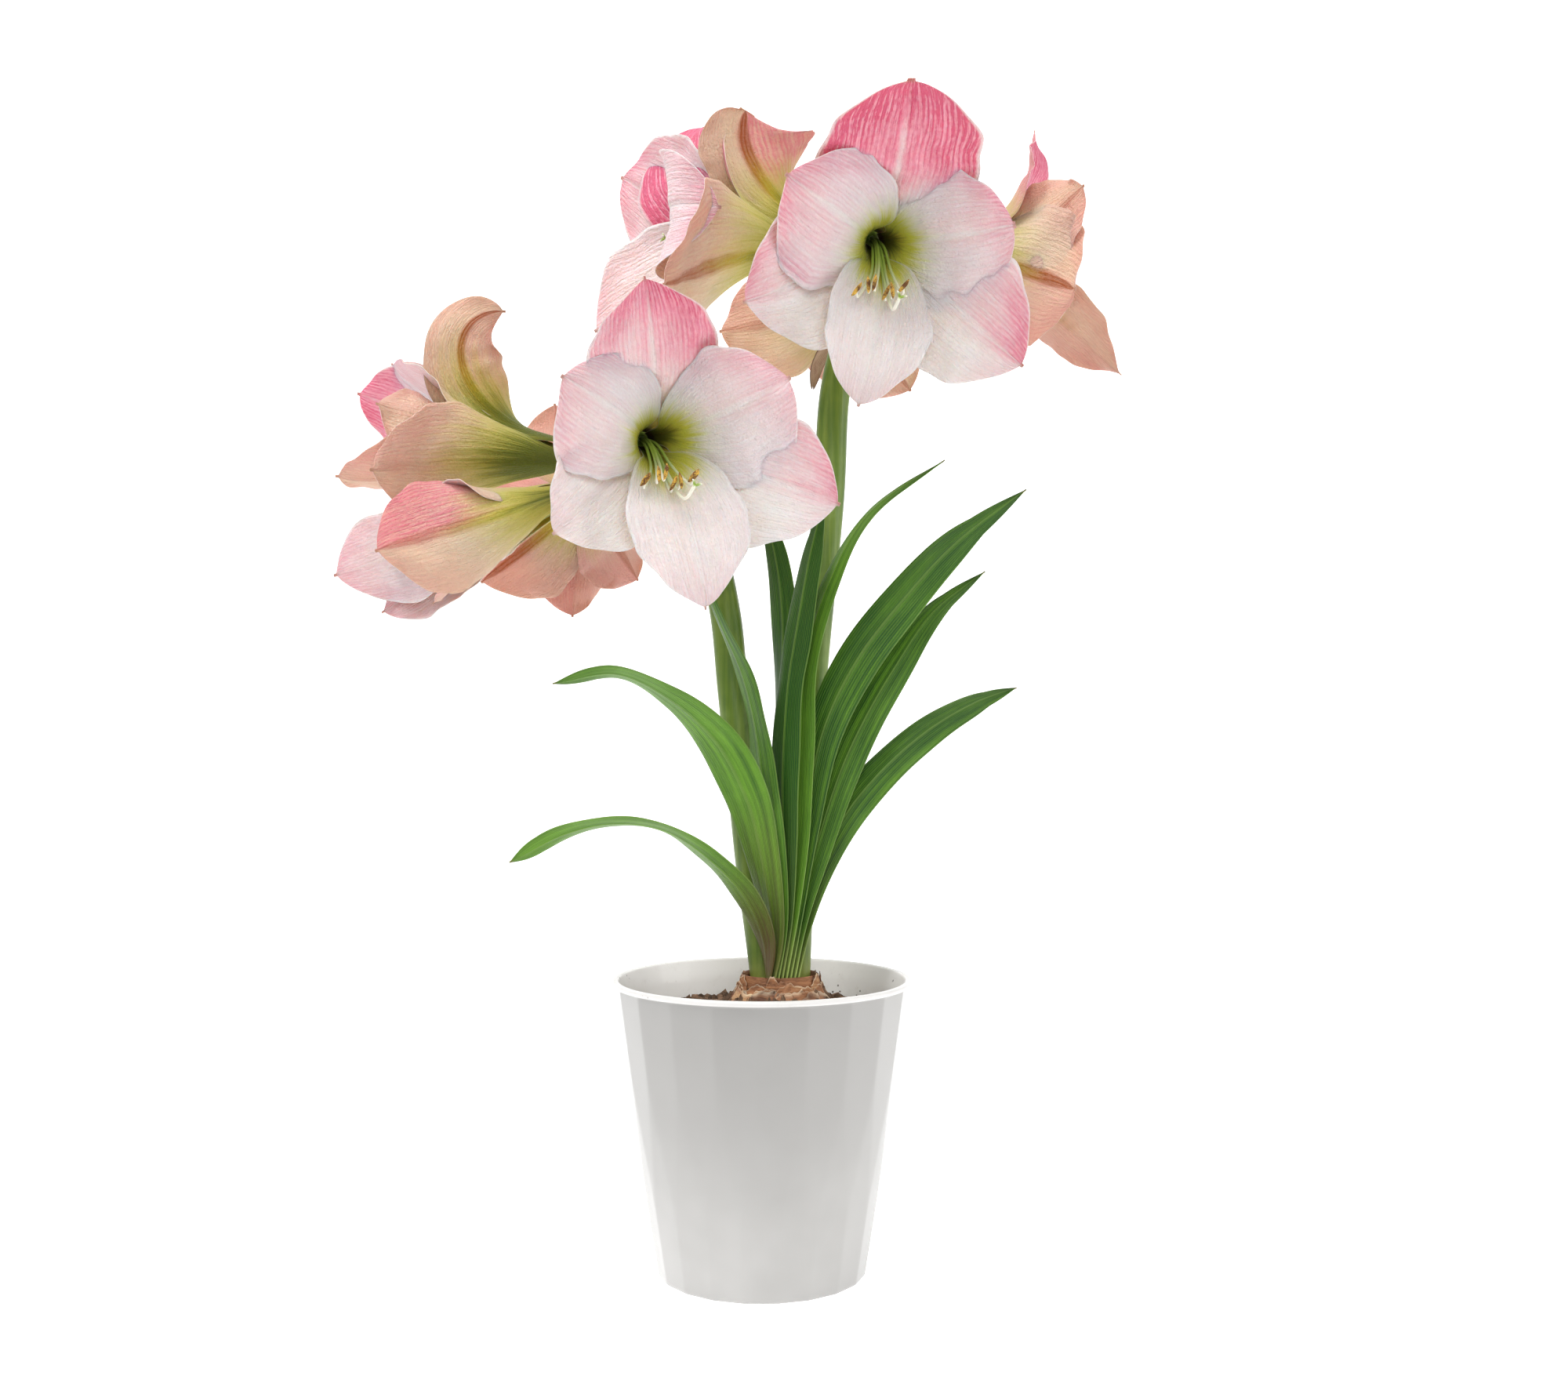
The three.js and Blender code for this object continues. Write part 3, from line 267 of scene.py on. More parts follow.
# Each strap leaf: points of its midrib, widths and turns of the blade read along it, where its tip
# begins to taper, and its looks: tone is how dark it is, and stain the red-brown at its base.
LEAVES = {
    "a": {
        "path": [(3.9, -8.8, 153.5), (2.2, -13, 180), (-8, -19, 204), (-26, -21, 224), (-50, -24, 240),
                 (-77, -27, 244), (-104, -30, 238), (-131, -34, 223)],
        "widths": (10.5, 15, 17, 18, 18, 17, 15, 7),
        "turns": (0, 40, 50, 32, 20, 18, 34, 50),
        "tone": 0.4, "stain": 1.3, "taper": 0.9,
    },
    "b": {
        "path": [(6, -9.4, 153), (7, -12.8, 187), (-2, -17, 236), (-10, -19, 262), (-24, -21, 287),
                 (-46, -24, 308), (-76, -27, 322), (-109, -30, 316)],
        "widths": (10.5, 15, 21, 25, 25, 20, 14, 5),
        "turns": (0, 40, 75, 70, 60, 35, 28, 40),
        "tone": 0.45, "stain": 0.7, "taper": 0.88,
    },
    "c": {
        "path": [(8.1, -9.6, 153), (9.7, -12, 190), (6, -14, 232), (1.5, -14, 266), (-2.5, -13, 295),
                 (-9.5, -12, 322), (-22, -12, 350), (-34, -14, 380)],
        "widths": (10.5, 14, 17, 19, 18, 16, 11, 3),
        "turns": (0, 36, 50, 42, 34, 30, 26, 30),
        "tone": 0.6, "stain": 0.0,
    },
    "d": {
        "path": [(9.5, 6, 152.6), (10.5, 7, 202), (11, 8, 239), (12, 10, 277), (12, 13, 315), (12, 16, 353),
                 (7, 18, 390), (-5, 20, 424)],
        "widths": (9, 12, 15, 18, 18, 18, 14, 3),
        "turns": (0, 5, 10, 20, 35, 50, 55, 55),
        "tone": 0.85, "stain": 0.0,
    },
    "e": {
        "path": [(10.2, -9.6, 153), (12.3, -12, 192), (12.5, -13.5, 234), (12.5, -14, 270), (15, -15, 312),
                 (20, -16, 345), (27, -16, 385), (33, -16, 413)],
        "widths": (10.5, 14, 18, 20, 20, 20, 17, 3),
        "turns": (0, 36, 45, 45, 42, 42, 40, 40),
        "tone": 1.0, "stain": 0.2,
    },
    "f": {
        "path": [(12.3, -9.6, 153), (15.5, -11.5, 195), (19, -12, 236), (21, -13, 280), (24, -15, 326),
                 (36.5, -18, 369), (58, -22, 406), (96, -27, 433)],
        "widths": (10.5, 14, 17, 18, 16, 13, 10, 3),
        "turns": (0, 38, 48, 48, 45, 40, 30, 25),
        "tone": 0.5, "stain": 0.0,
    },
    "g": {
        "path": [(14.4, -9.6, 153), (17.8, -10.4, 195), (24, -10, 243), (33, -11, 290), (51, -13, 328),
                 (76, -16, 361), (104, -20, 391), (139, -24, 418)],
        "widths": (10.5, 13, 17, 21, 24, 22, 17, 3),
        "turns": (0, 42, 60, 70, 76, 78, 75, 70),
        "tone": 0.75, "stain": 0.0,
    },
    "h": {
        "path": [(16.5, -9.6, 153), (19.8, -9, 190), (29.5, -7.5, 228), (41.5, -6.5, 266), (55, -6, 296),
                 (72.5, -6, 326), (92, -7, 354), (119, -9, 376)],
        "widths": (10.5, 13, 17, 20, 20, 18, 13, 3),
        "turns": (0, 45, 66, 72, 72, 70, 65, 60),
        "tone": 0.65, "stain": 0.0,
    },
    "i": {
        "path": [(18.2, -9.2, 153), (21.6, -7, 186), (31, -5, 218), (47, -3, 248), (68, -2, 272),
                 (90.5, -2, 291), (114, -4, 305), (136, -8, 314)],
        "widths": (10.5, 13, 17, 20, 20, 18, 14, 3),
        "turns": (0, 45, 66, 70, 66, 60, 55, 50),
        "tone": 0.7, "stain": 0.3,
    },
}

# Each bract: where it leaves its stalk, the way it heads and its length.
BRACTS = {
    "left_1": {"from": (-46.3, 12.5, 417.1), "out": (0.1, -0.9, -0.4), "length": 46},
    "left_2": {"from": (-45.1, 31.1, 418.7), "out": (0.5, 0.8, -0.3), "length": 50},
    "right_1": {"from": (39, 22.4, 506.6), "out": (-0.5, 0.8, -0.3), "length": 34},
    "right_2": {"from": (52.5, 21.6, 504.1), "out": (0.5, 0.8, -0.4), "length": 34},
}

# ---------------------------------------------------------------- curves and fields


def smooth(start, end, x):
    """0 before start, 1 after end, and an S curve between."""
    t = np.clip((np.asarray(x, float) - start) / (end - start), 0, 1)
    return t * t * (3 - 2 * t)


def mix(a, b, t):
    """a where t is 0 and b where t is 1."""
    return a + (b - a) * t


def unit(v):
    """Vectors scaled to length one along the last axis."""
    v = np.asarray(v, float)
    return v / np.maximum(np.linalg.norm(v, axis=-1, keepdims=True), 1e-12)


def curve(knots, t):
    """Catmull-Rom curve through evenly spaced knots, numbers or points, read at every t from 0 to 1."""
    knots = np.asarray(knots, float)
    last = len(knots) - 1
    x = np.clip(np.asarray(t, float) * last, 0, last)
    i = np.minimum(x.astype(int), last - 1)
    u = x - i
    ends = np.concatenate([[2 * knots[0] - knots[1]], knots, [2 * knots[-1] - knots[-2]]])
    a, b, c, d = (ends[i + k] for k in range(4))
    if knots.ndim > 1:
        u = u[..., None]
    return b + 0.5 * u * (c - a + u * (2 * a - 5 * b + 4 * c - d + u * (3 * (b - c) + d - a)))


def lumps(points, wavelength, seed, waves=14):
    """A smooth uneven field about 0: a mean of sine waves in seeded random directions and phases."""
    rng = np.random.default_rng(seed)
    field = np.zeros(points.shape[:-1])
    for _ in range(waves):
        direction = unit(rng.normal(size=points.shape[-1]))
        pitch = wavelength * rng.uniform(0.6, 1.6)
        field += np.sin(points @ direction * (TURN / pitch) + rng.uniform(0, TURN))
    return field * math.sqrt(2 / waves)


# ---------------------------------------------------------------- meshes


class Part:
    """One closed shell: vertices in millimetres, faces by their number of corners, and attributes."""

    def __init__(self, vertices, faces, **attributes):
        self.vertices = np.asarray(vertices, float).reshape(-1, 3)
        self.faces = [np.asarray(f, int) for f in faces if len(f)]
        self.attributes = {
            name: np.broadcast_to(np.asarray(values, float).reshape(-1), len(self.vertices))
            for name, values in attributes.items()
        }


def grid_faces(rows, cols, wrap=False):
    """Quads of a grid of rows by cols points, wound along the rows first; wrap joins the last column
    to the first."""
    i = np.arange(rows - 1)[:, None]
    j = np.arange(cols if wrap else cols - 1)[None, :]
    k = (j + 1) % cols
    quads = [i * cols + j, (i + 1) * cols + j, (i + 1) * cols + k, i * cols + k]
    return np.stack(np.broadcast_arrays(*quads), -1).reshape(-1, 4)


def blade_part(grid, thickness, **attributes):
    """A thin closed blade about a grid of points (rows from base to tip, columns across): the grid moved
    half the thickness each way along its own normal, with a strip of faces round its edge. The side that
    the normal points to gets face = 1 and the other face = 0."""
    rows, cols = grid.shape[:2]
    normal = unit(np.cross(np.gradient(grid, axis=0), np.gradient(grid, axis=1)))
    half = (np.broadcast_to(thickness, (rows, cols)) / 2)[..., None]
    vertices = np.concatenate([(grid + normal * half).reshape(-1, 3), (grid - normal * half).reshape(-1, 3)])
    front = grid_faces(rows, cols)
    count = rows * cols
    back = front[:, ::-1] + count
    index = np.arange(count).reshape(rows, cols)

    def strip(edge):
        a, b = edge[:-1], edge[1:]
        return np.stack([a, a + count, b + count, b], -1)

    edges = [strip(index[:, 0]), strip(index[::-1, -1]), strip(index[0, ::-1]), strip(index[-1, :])]
    both = {name: np.tile(np.broadcast_to(v, (rows, cols)).reshape(-1), 2) for name, v in attributes.items()}
    both["face"] = np.repeat([1.0, 0.0], count)
    return Part(vertices, [np.concatenate([front, back, *edges])], **both)


def turned(radius, height, angle):
    """Rings of points about the Z axis, each at its radius and height, at every angle."""
    x = radius * np.cos(angle)
    return np.stack([x, radius * np.sin(angle), np.broadcast_to(height, x.shape)], -1)


def around(count):
    """Angles of count points evenly round a ring."""
    return TURN * np.arange(count) / count


def tube_part(rings, **attributes):
    """A closed tube through rings of points, with a flat face at each end."""
    rows, sides = rings.shape[:2]
    low = np.arange(sides)[::-1][None]
    high = ((rows - 1) * sides + np.arange(sides))[None]
    return Part(rings, [grid_faces(rows, sides, wrap=True)[:, ::-1], low, high], **attributes)


def domed_part(rings, poles, downwards=False, **attributes):
    """A closed body through rings of points, with a fan of triangles from its first and its last ring to
    a pole. The rings run up the outside, or down it where that is said."""
    rows, sides = rings.shape[:2]
    j = np.arange(sides)
    k = (j + 1) % sides
    last = (rows - 1) * sides
    fans = np.concatenate([
        np.stack([np.full(sides, rows * sides), k, j], -1),
        np.stack([np.full(sides, rows * sides + 1), last + j, last + k], -1),
    ])
    quads = grid_faces(rows, sides, wrap=True)[:, ::-1]
    if downwards:
        quads, fans = quads[:, ::-1], fans[:, [0, 2, 1]]
    return Part(np.concatenate([rings.reshape(-1, 3), poles]), [quads, fans], **attributes)


def rod_part(path, radii, sides=14, steps=40, squash=1.0, **attributes):
    """A closed rod: circles of the radius read from radii, set square to a curve through the path's
    points. squash narrows it across the second direction."""
    t = np.linspace(0, 1, steps + 1)
    centre = curve(path, t)
    tangent = unit(np.gradient(centre, axis=0))
    spare = np.eye(3)[np.argmin(np.abs(tangent).max(axis=0))]
    first = unit(np.cross(tangent, spare))
    second = np.cross(tangent, first)
    radius = curve(radii, t)[:, None, None]
    a = around(sides)[None, :, None]
    points = centre[:, None] + radius * (first[:, None] * np.cos(a) + squash * second[:, None] * np.sin(a))
    return tube_part(points, **{"along": np.repeat(t, sides), **attributes})


def added(name, data):
    """A new object at the origin that holds data, linked to the scene."""
    thing = bpy.data.objects.new(name, data)
    bpy.context.scene.collection.objects.link(thing)
    return thing


def make_piece(name, parts, material, nodes=(), smooth_faces=True):
    """One object at the origin from closed parts, which rides on the root body and stands for nodes."""
    vertices = np.concatenate([p.vertices for p in parts]) * MM
    corners, sizes, start = [], [], 0
    for part in parts:
        for faces in part.faces:
            corners.append((faces + start).reshape(-1))
            sizes.append(np.full(len(faces), faces.shape[1]))
        start += len(part.vertices)
    corners, sizes = np.concatenate(corners), np.concatenate(sizes)
    mesh = bpy.data.meshes.new(name)
    mesh.vertices.add(len(vertices))
    mesh.vertices.foreach_set("co", vertices.astype(np.float32).reshape(-1))
    mesh.loops.add(len(corners))
    mesh.loops.foreach_set("vertex_index", corners.astype(np.int32))
    mesh.polygons.add(len(sizes))
    mesh.polygons.foreach_set("loop_start", (np.cumsum(sizes) - sizes).astype(np.int32))
    mesh.polygons.foreach_set("use_smooth", np.full(len(sizes), smooth_faces))
    for key in sorted(set().union(*(p.attributes for p in parts))):
        values = [p.attributes.get(key, np.zeros(len(p.vertices))) for p in parts]
        attribute = mesh.attributes.new(key, "FLOAT", "POINT")
        attribute.data.foreach_set("value", np.concatenate(values).astype(np.float32))
    mesh.update(calc_edges=True)
    if mesh.validate():
        raise RuntimeError(f"{name} has faces that Blender had to repair")
    mesh.materials.append(material)
    piece = added(name, mesh)
    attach(piece, "root")
    if nodes:
        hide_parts(*nodes)
    return piece


# ---------------------------------------------------------------- settings


def paint(name, description, default):
    """A colour that the user may change."""
    return bpy.props.FloatVectorProperty(name=name, description=description, subtype="COLOR", default=default)


def amount(name, description, default):
    """A number that the user may change."""
    return bpy.props.FloatProperty(name=name, description=description, default=default)


# ---------------------------------------------------------------- shader maths


class Socket:
    """An output of a shader node. Arithmetic on it adds Math nodes."""

    def __init__(self, finish, output):
        self.finish = finish
        self.output = output

    def math(self, operation, *others):
        return self.finish.node("ShaderNodeMath", {"operation": operation}, self, *others)

    def __add__(self, other):
        return self.math("ADD", other)

    def __mul__(self, other):
        return self.math("MULTIPLY", other)

    __radd__ = __add__
    __rmul__ = __mul__

    def __sub__(self, other):
        return self.math("SUBTRACT", other)

    def __rsub__(self, other):
        return self.finish.node("ShaderNodeMath", {"operation": "SUBTRACT"}, other, self)

    def __pow__(self, other):
        return self.math("POWER", other)

    def __abs__(self):
        return self.math("ABSOLUTE")

    def sine(self):
        return self.math("SINE")

    def clamp(self):
        return self.finish.node("ShaderNodeClamp", {}, self, 0.0, 1.0)

    def step(self, start, end):
        """0 before start, 1 after end, and an S curve between; it falls where end is under start."""
        if end < start:
            return 1.0 - self.step(end, start)
        settings = {"interpolation_type": "SMOOTHSTEP"}
        return self.finish.node("ShaderNodeMapRange", settings, self, start, end, 0.0, 1.0)


class Finish:
    """A node material: node() adds any node, and the other methods are its common uses."""

    def __init__(self, name, **constants):
        self.material = bpy.data.materials.new(name)
        self.material.use_nodes = True
        self.tree = self.material.node_tree
        self.shader = self.tree.nodes["Principled BSDF"]
        for socket, value in constants.items():
            self.shader.inputs[socket.replace("_", " ")].default_value = value

    def plug(self, target, value):
        if isinstance(value, Socket):
            self.tree.links.new(value.output, target)
        elif target.type == "RGBA":
            target.default_value = (*value, 1.0)[:4]
        else:
            target.default_value = value

    def node(self, kind, settings, *values, output=0, **named):
        """A node of that kind with its settings, then values for its enabled sockets in order or by
        name, as one of its outputs."""
        made = self.tree.nodes.new(kind)
        for key, value in settings.items():
            setattr(made, key, value)
        enabled = [s for s in made.inputs if s.enabled]
        for target, value in zip(enabled, values):
            self.plug(target, value)
        for key, value in named.items():
            self.plug(next(s for s in enabled if s.name == key.replace("_", " ")), value)
        return Socket(self, [s for s in made.outputs if s.enabled][output])

    def attributes(self, *names):
        """Numbers that the mesh holds at its points, one for each name."""
        return [self.node("ShaderNodeAttribute", {"attribute_name": name}, output=2) for name in names]

    def place(self, scale=(1, 1, 1)):
        """Object coordinates in metres, stretched by scale."""
        where = self.node("ShaderNodeTexCoord", {}, output=3)
        return self.node("ShaderNodeMapping", {"vector_type": "POINT"}, where, Scale=scale)

    def noise(self, scale, detail=3.0, roughness=0.55, where=None, warp=0.0):
        """Cloudy noise from 0 to 1, with scale cells to the metre."""
        where = where or self.place()
        return self.node("ShaderNodeTexNoise", {}, Vector=where, Scale=scale, Detail=detail,
                         Roughness=roughness, Distortion=warp)

    def field(self, x, y, seed, detail=3.0, roughness=0.55, scale=1.0):
        """Cloudy noise over two values that run along the surface, with a pattern for each seed."""
        where = self.node("ShaderNodeCombineXYZ", {}, x, y, seed)
        return self.noise(scale, detail, roughness, where)

    def cells(self, scale):
        """Distance to the nearest of scattered points, with scale cells to the metre."""
        return self.node("ShaderNodeTexVoronoi", {"feature": "F1"}, Vector=self.place(), Scale=scale)

    def layers(self, ground, *laid):
        """The ground's colour with each (colour, mask) laid over what is below it."""
        settings = {"data_type": "RGBA", "blend_type": "MIX", "clamp_factor": True}
        for colour, mask in laid:
            ground = self.node("ShaderNodeMix", settings, mask, ground, colour)
        return ground

    def done(self, colour, roughness, height=None, depth=0.001):
        """Plugs in the colour and roughness, and bump from a height of depth metres."""
        self.plug(self.shader.inputs["Base Color"], colour)
        self.plug(self.shader.inputs["Roughness"], roughness)
        if height is not None:
            bump = self.node("ShaderNodeBump", {}, Strength=1.0, Distance=depth, Height=height)
            self.plug(self.shader.inputs["Normal"], bump)
        return self.material


# ---------------------------------------------------------------- tepals


def bloom_frame(faces):
    """The bloom's right, up and forward directions, seen by someone who looks into it."""
    axis = unit(faces)
    right = unit(np.cross((0, 0, 1), axis))
    return right, np.cross(axis, right), axis


def tepal_grid(bloom, tepal, rows, cols, ruffle):
    """Grid of points over a tepal. The midrib leaves the tube wall and bends outwards by the flare; it
    is the running sum of small steps at that angle. Across it the blade is an arc, which follows the
    tube near the throat and the tepal's own cup further out. The margin ripples in a few waves, and the
    midrib lies in a shallow crease, with a small hook at the tip. Returns the grid, along, across and
    lane, which is across but for the tip, where it keeps its width so that veins end at the margin."""
    turn, length, half_width, flare, options = tepal
    right, up, axis = bloom_frame(bloom["faces"])
    own = {**PLAIN_TEPAL, **options}
    amp, cycles, phase = own["wave"]
    a = math.radians(turn)
    outward = right * math.cos(a) + up * math.sin(a)
    sideways = up * math.cos(a) - right * math.sin(a)

    fine = np.linspace(0, 1, SPINE_STEPS + 1)
    flare_angle = np.radians(curve(flare, fine))
    drift_angle = np.radians(curve(own["drift"], fine))

    def run(rate):
        return np.concatenate([[0], np.cumsum((rate[1:] + rate[:-1]) / 2)]) * length / (len(fine) - 1)

    start = TUBE_RADIUS + (-0.4 if own["inner"] else 0.4)
    radius = start + run(np.sin(flare_angle) * np.cos(drift_angle))
    rise = run(np.cos(flare_angle) * np.cos(drift_angle))
    side = run(np.sin(drift_angle))
    away = radius[:, None] * outward
    spine = np.array(bloom["at"]) + away + rise[:, None] * axis + side[:, None] * sideways

    s = 1 - (1 - np.linspace(0, 1, rows)) ** 1.2
    centre = np.stack([np.interp(s, fine, spine[:, k]) for k in range(3)], -1)
    tangent = unit(np.stack([np.interp(s, fine, np.gradient(spine[:, k])) for k in range(3)], -1))
    r = np.interp(s, fine, radius)
    flat = unit(sideways - (tangent @ sideways)[:, None] * tangent)
    inward = np.cross(tangent, flat)
    twist = np.radians(curve(own["twist"], s))[:, None]
    wide = flat * np.cos(twist) + inward * np.sin(twist)
    deep = inward * np.cos(twist) - flat * np.sin(twist)

    body = np.minimum(s / (1 - HOOK_SHARE), 0.9985) ** own["neck"]
    outline = np.sin(math.pi * body) ** own["point"]
    blend = smooth(0.1, 0.34, s)
    half = half_width * outline * blend + THROAT_OVERLAP * math.pi * r / 6 * (1 - blend)
    half = np.maximum(half, mix(1.0, 0.12, smooth(0.95, 1.0, s)))
    tube_bend = np.cos(np.interp(s, fine, flare_angle)) / r
    own_bend = curve(own["cup"], s) / (2 * half_width)
    bend = mix(tube_bend, own_bend, smooth(*own["hold"], s))
    bend = np.where(np.abs(bend) < 1e-4, 1e-4, bend)[:, None]

    v = np.linspace(-1, 1, cols)[None, :]
    v = np.sign(v) * np.abs(v) ** 0.9
    row = s[:, None]
    full = np.minimum(1, half / 8)[:, None]
    grow = smooth(0.3, 0.75, row) * full
    seed = turn * 0.37 + length * 0.11
    side = np.sign(v)
    uneven = np.sin(17 * row + 5 * seed + 1.3 * side) + 0.6 * np.sin(38 * row + 2 * seed + 2.2 * side)
    d = (v + own["skew"] * v**2) * half[:, None] * (1 + 0.035 * v**2 * grow * uneven)
    ripple = amp * v**2 * grow * np.sin(TURN * cycles * row + phase + side * 1.7)
    fine_wave = ruffle * np.abs(v) ** 3 * grow * (
        np.sin(46 * row + seed + side * 2.1) + 0.6 * np.sin(76 * row + 2 * seed + side * 0.8)
    )
    ends = smooth(0.2, 0.5, row) * smooth(1.0, 0.93, row)
    crease = -0.7 * np.exp(-((d / 2.4) ** 2)) * ends
    flat_place = np.stack([d, length * row + 0 * d], -1)
    swell = 0.5 * lumps(flat_place, 24, int(abs(turn) + length)) * grow
    lane = v * np.where(row < 0.62, 1.0, np.maximum(outline[:, None], 0.02) ** 0.75)
    pleat = 0.07 * np.cos(TURN * 3.5 * lane + seed) * ends
    hook = smooth(0.95, 1.0, s)[:, None] * np.array((0.4 * math.cos(seed), 0.4 * math.sin(seed)))
    lift = (1 - np.cos(bend * d)) / bend + ripple + fine_wave + crease + swell + pleat + hook[:, 1:]
    aside = np.sin(bend * d) / bend + hook[:, :1]
    grid = centre[:, None] + wide[:, None] * aside[..., None] + deep[:, None] * lift[..., None]
    return grid, row, v, lane


def tepal_part(bloom, tepal, settings, seed):
    """One tepal as a closed blade that thins towards its margin, with its looks as attributes."""
    own = {**PLAIN_BLOOM, **bloom, **PLAIN_TEPAL, **tepal[4]}
    grid, along, across, lane = tepal_grid(bloom, tepal, settings.rows, settings.columns, settings.ruffle)
    thickness = settings.thickness * (1 - 0.6 * across**6) * (1 + 0.8 * smooth(0.35, 0.05, along))
    star, rib = (1.0, 0.1) if own["inner"] else (0.3, 0.45)
    looks = {key: own[key] for key in ("flush", "lean", "blush", "tube", "tan")}
    looks |= {"star": star, "rib": own.get("rib", rib), "seed": seed}
    return blade_part(grid, thickness, along=along, across=across, lane=lane, **looks)


def tepal_finish(settings):
    """Satin tepal skin. Along and across run over each blade; face is 1 on its inner side. Inside, pink
    veins and a pink flush over cream-white with a green throat; outside, cream with a brown-red midrib
    that turns green towards the tube. The relief is the veins and a fine crêpe between them."""
    skin = Finish("tepal skin", Subsurface_Weight=0.35, Subsurface_Radius=(0.005, 0.0026, 0.0018),
                  Subsurface_Scale=0.6, Specular_IOR_Level=0.25, Sheen_Weight=0.05, Sheen_Roughness=0.4)
    along, across, lane = skin.attributes("along", "across", "lane")
    inner, flush, lean, star = skin.attributes("face", "flush", "lean", "star")
    rib, blush, tube, tan, seed = skin.attributes("rib", "blush", "tube", "tan", "seed")

    drift = skin.field(across * 2.0, along * 5.0, seed, 2.0) - 0.5
    blotch = skin.field(across * 2.5, along * 4.0, seed)
    streak = skin.field(lane * 8.0, along * 1.8, seed)
    fibre = skin.field(lane * 36.0, along * 5.0, seed, 3.0, 0.65)
    thread = skin.field(lane * 80.0, along * 9.0, seed, 2.0)
    wave = (lane * 92.0 + drift * 12.0).sine() * 0.5 + 0.5
    dash = skin.field(lane * 22.0, along * 42.0, seed, 2.0)
    vein = (wave**2.0 * 0.24 + fibre * 1.05 + dash * 0.55).step(0.66, 1.15)
    crepe = skin.field(lane * 30.0, along * 75.0, seed, 2.0, 0.6)
    from_rib = abs(across)
    midrib = from_rib.step(0.09, 0.01)

    # Inner face
    side = (1.0 + lean * (across.step(-0.35, 0.35) * 2.0 - 1.0)).clamp()
    zone = along.step(0.24, 0.78) * (0.35 + 1.3 * blotch) * (0.8 + from_rib.step(0.3, 0.95) * 0.35)
    tip = along.step(0.72, 1.0) * 0.42
    pink = flush * side * zone * (1.0 - midrib * 0.55) + tip * (0.3 + flush)
    deep = pink * pink * (vein * 0.5 + thread.step(0.45, 0.7) * 0.2)
    reach = along + (streak - 0.5) * 0.2 + (fibre - 0.5) * 0.16 + from_rib * 0.12 - star * 0.17
    inside = skin.layers(
        settings.white,
        (settings.shade, streak.step(0.35, 0.75) * 0.45 + vein * 0.1),
        (settings.pink_light, (pink * (0.82 + 0.2 * vein + 0.2 * thread)).clamp()),
        (settings.pink_deep, deep.clamp()),
        (settings.pink_light, thread.step(0.5, 0.7) * along.step(0.25, 0.5) * 0.1),
        (settings.throat_pale, reach.step(0.48, 0.24) * 0.6),
        (settings.throat_light, reach.step(0.36, 0.2) * 0.95),
        (settings.throat_green, reach.step(0.2, 0.05) * 0.88),
        (settings.throat_dark, along.step(0.1, 0.05) * 0.8),
        (settings.white, from_rib.step(0.93, 0.99) * 0.6),
    )

    # Outer face
    tint = (along.step(0.35, 0.95) * 0.45 + from_rib.step(0.35, 1.0) * 0.35) * (0.4 + blotch + 0.15 * vein)
    blushed = blush * along.step(0.25, 0.6) * (0.5 + 0.5 * vein) * across.step(-0.2, 0.1)
    lines = (vein * 0.35 + thread.step(0.5, 0.7) * 0.35) * along.step(0.15, 0.5)
    stripe_edge = from_rib + (fibre - 0.5) * 0.1 + (thread - 0.5) * 0.05
    stripe = stripe_edge.step(0.14, 0.05) * along.step(0.2, 0.42) * rib
    green_edge = along + from_rib * 0.2 + (streak - 0.5) * 0.3 + (fibre - 0.5) * 0.1 - tube * 0.12
    deep_edge = along + from_rib * 0.25 + (streak - 0.5) * 0.35 + (fibre - 0.5) * 0.2 - tube * 0.2
    outside = skin.layers(
        settings.outer_cream,
        (settings.outer_peach, (tint + tan * 0.6).clamp()),
        (settings.pink_deep, blushed * 0.8),
        (settings.outer_line, lines * 0.3),
        (settings.rib_brown, stripe * (0.75 + 0.25 * vein)),
        (settings.tube_lime, green_edge.step(0.7, 0.26) * 0.85),
        (settings.tube_green, deep_edge.step(0.36, 0.06) * 0.95),
    )

    colour = skin.layers(outside, (inside, inner), (settings.hook, along.step(0.975, 0.995) * 0.6))
    height = vein * 0.3 * along.step(0.08, 0.35) + crepe * 0.9 + fibre * 0.3 - midrib * 0.4
    return skin.done(colour, 0.44 + 0.14 * crepe, height, depth=settings.relief)


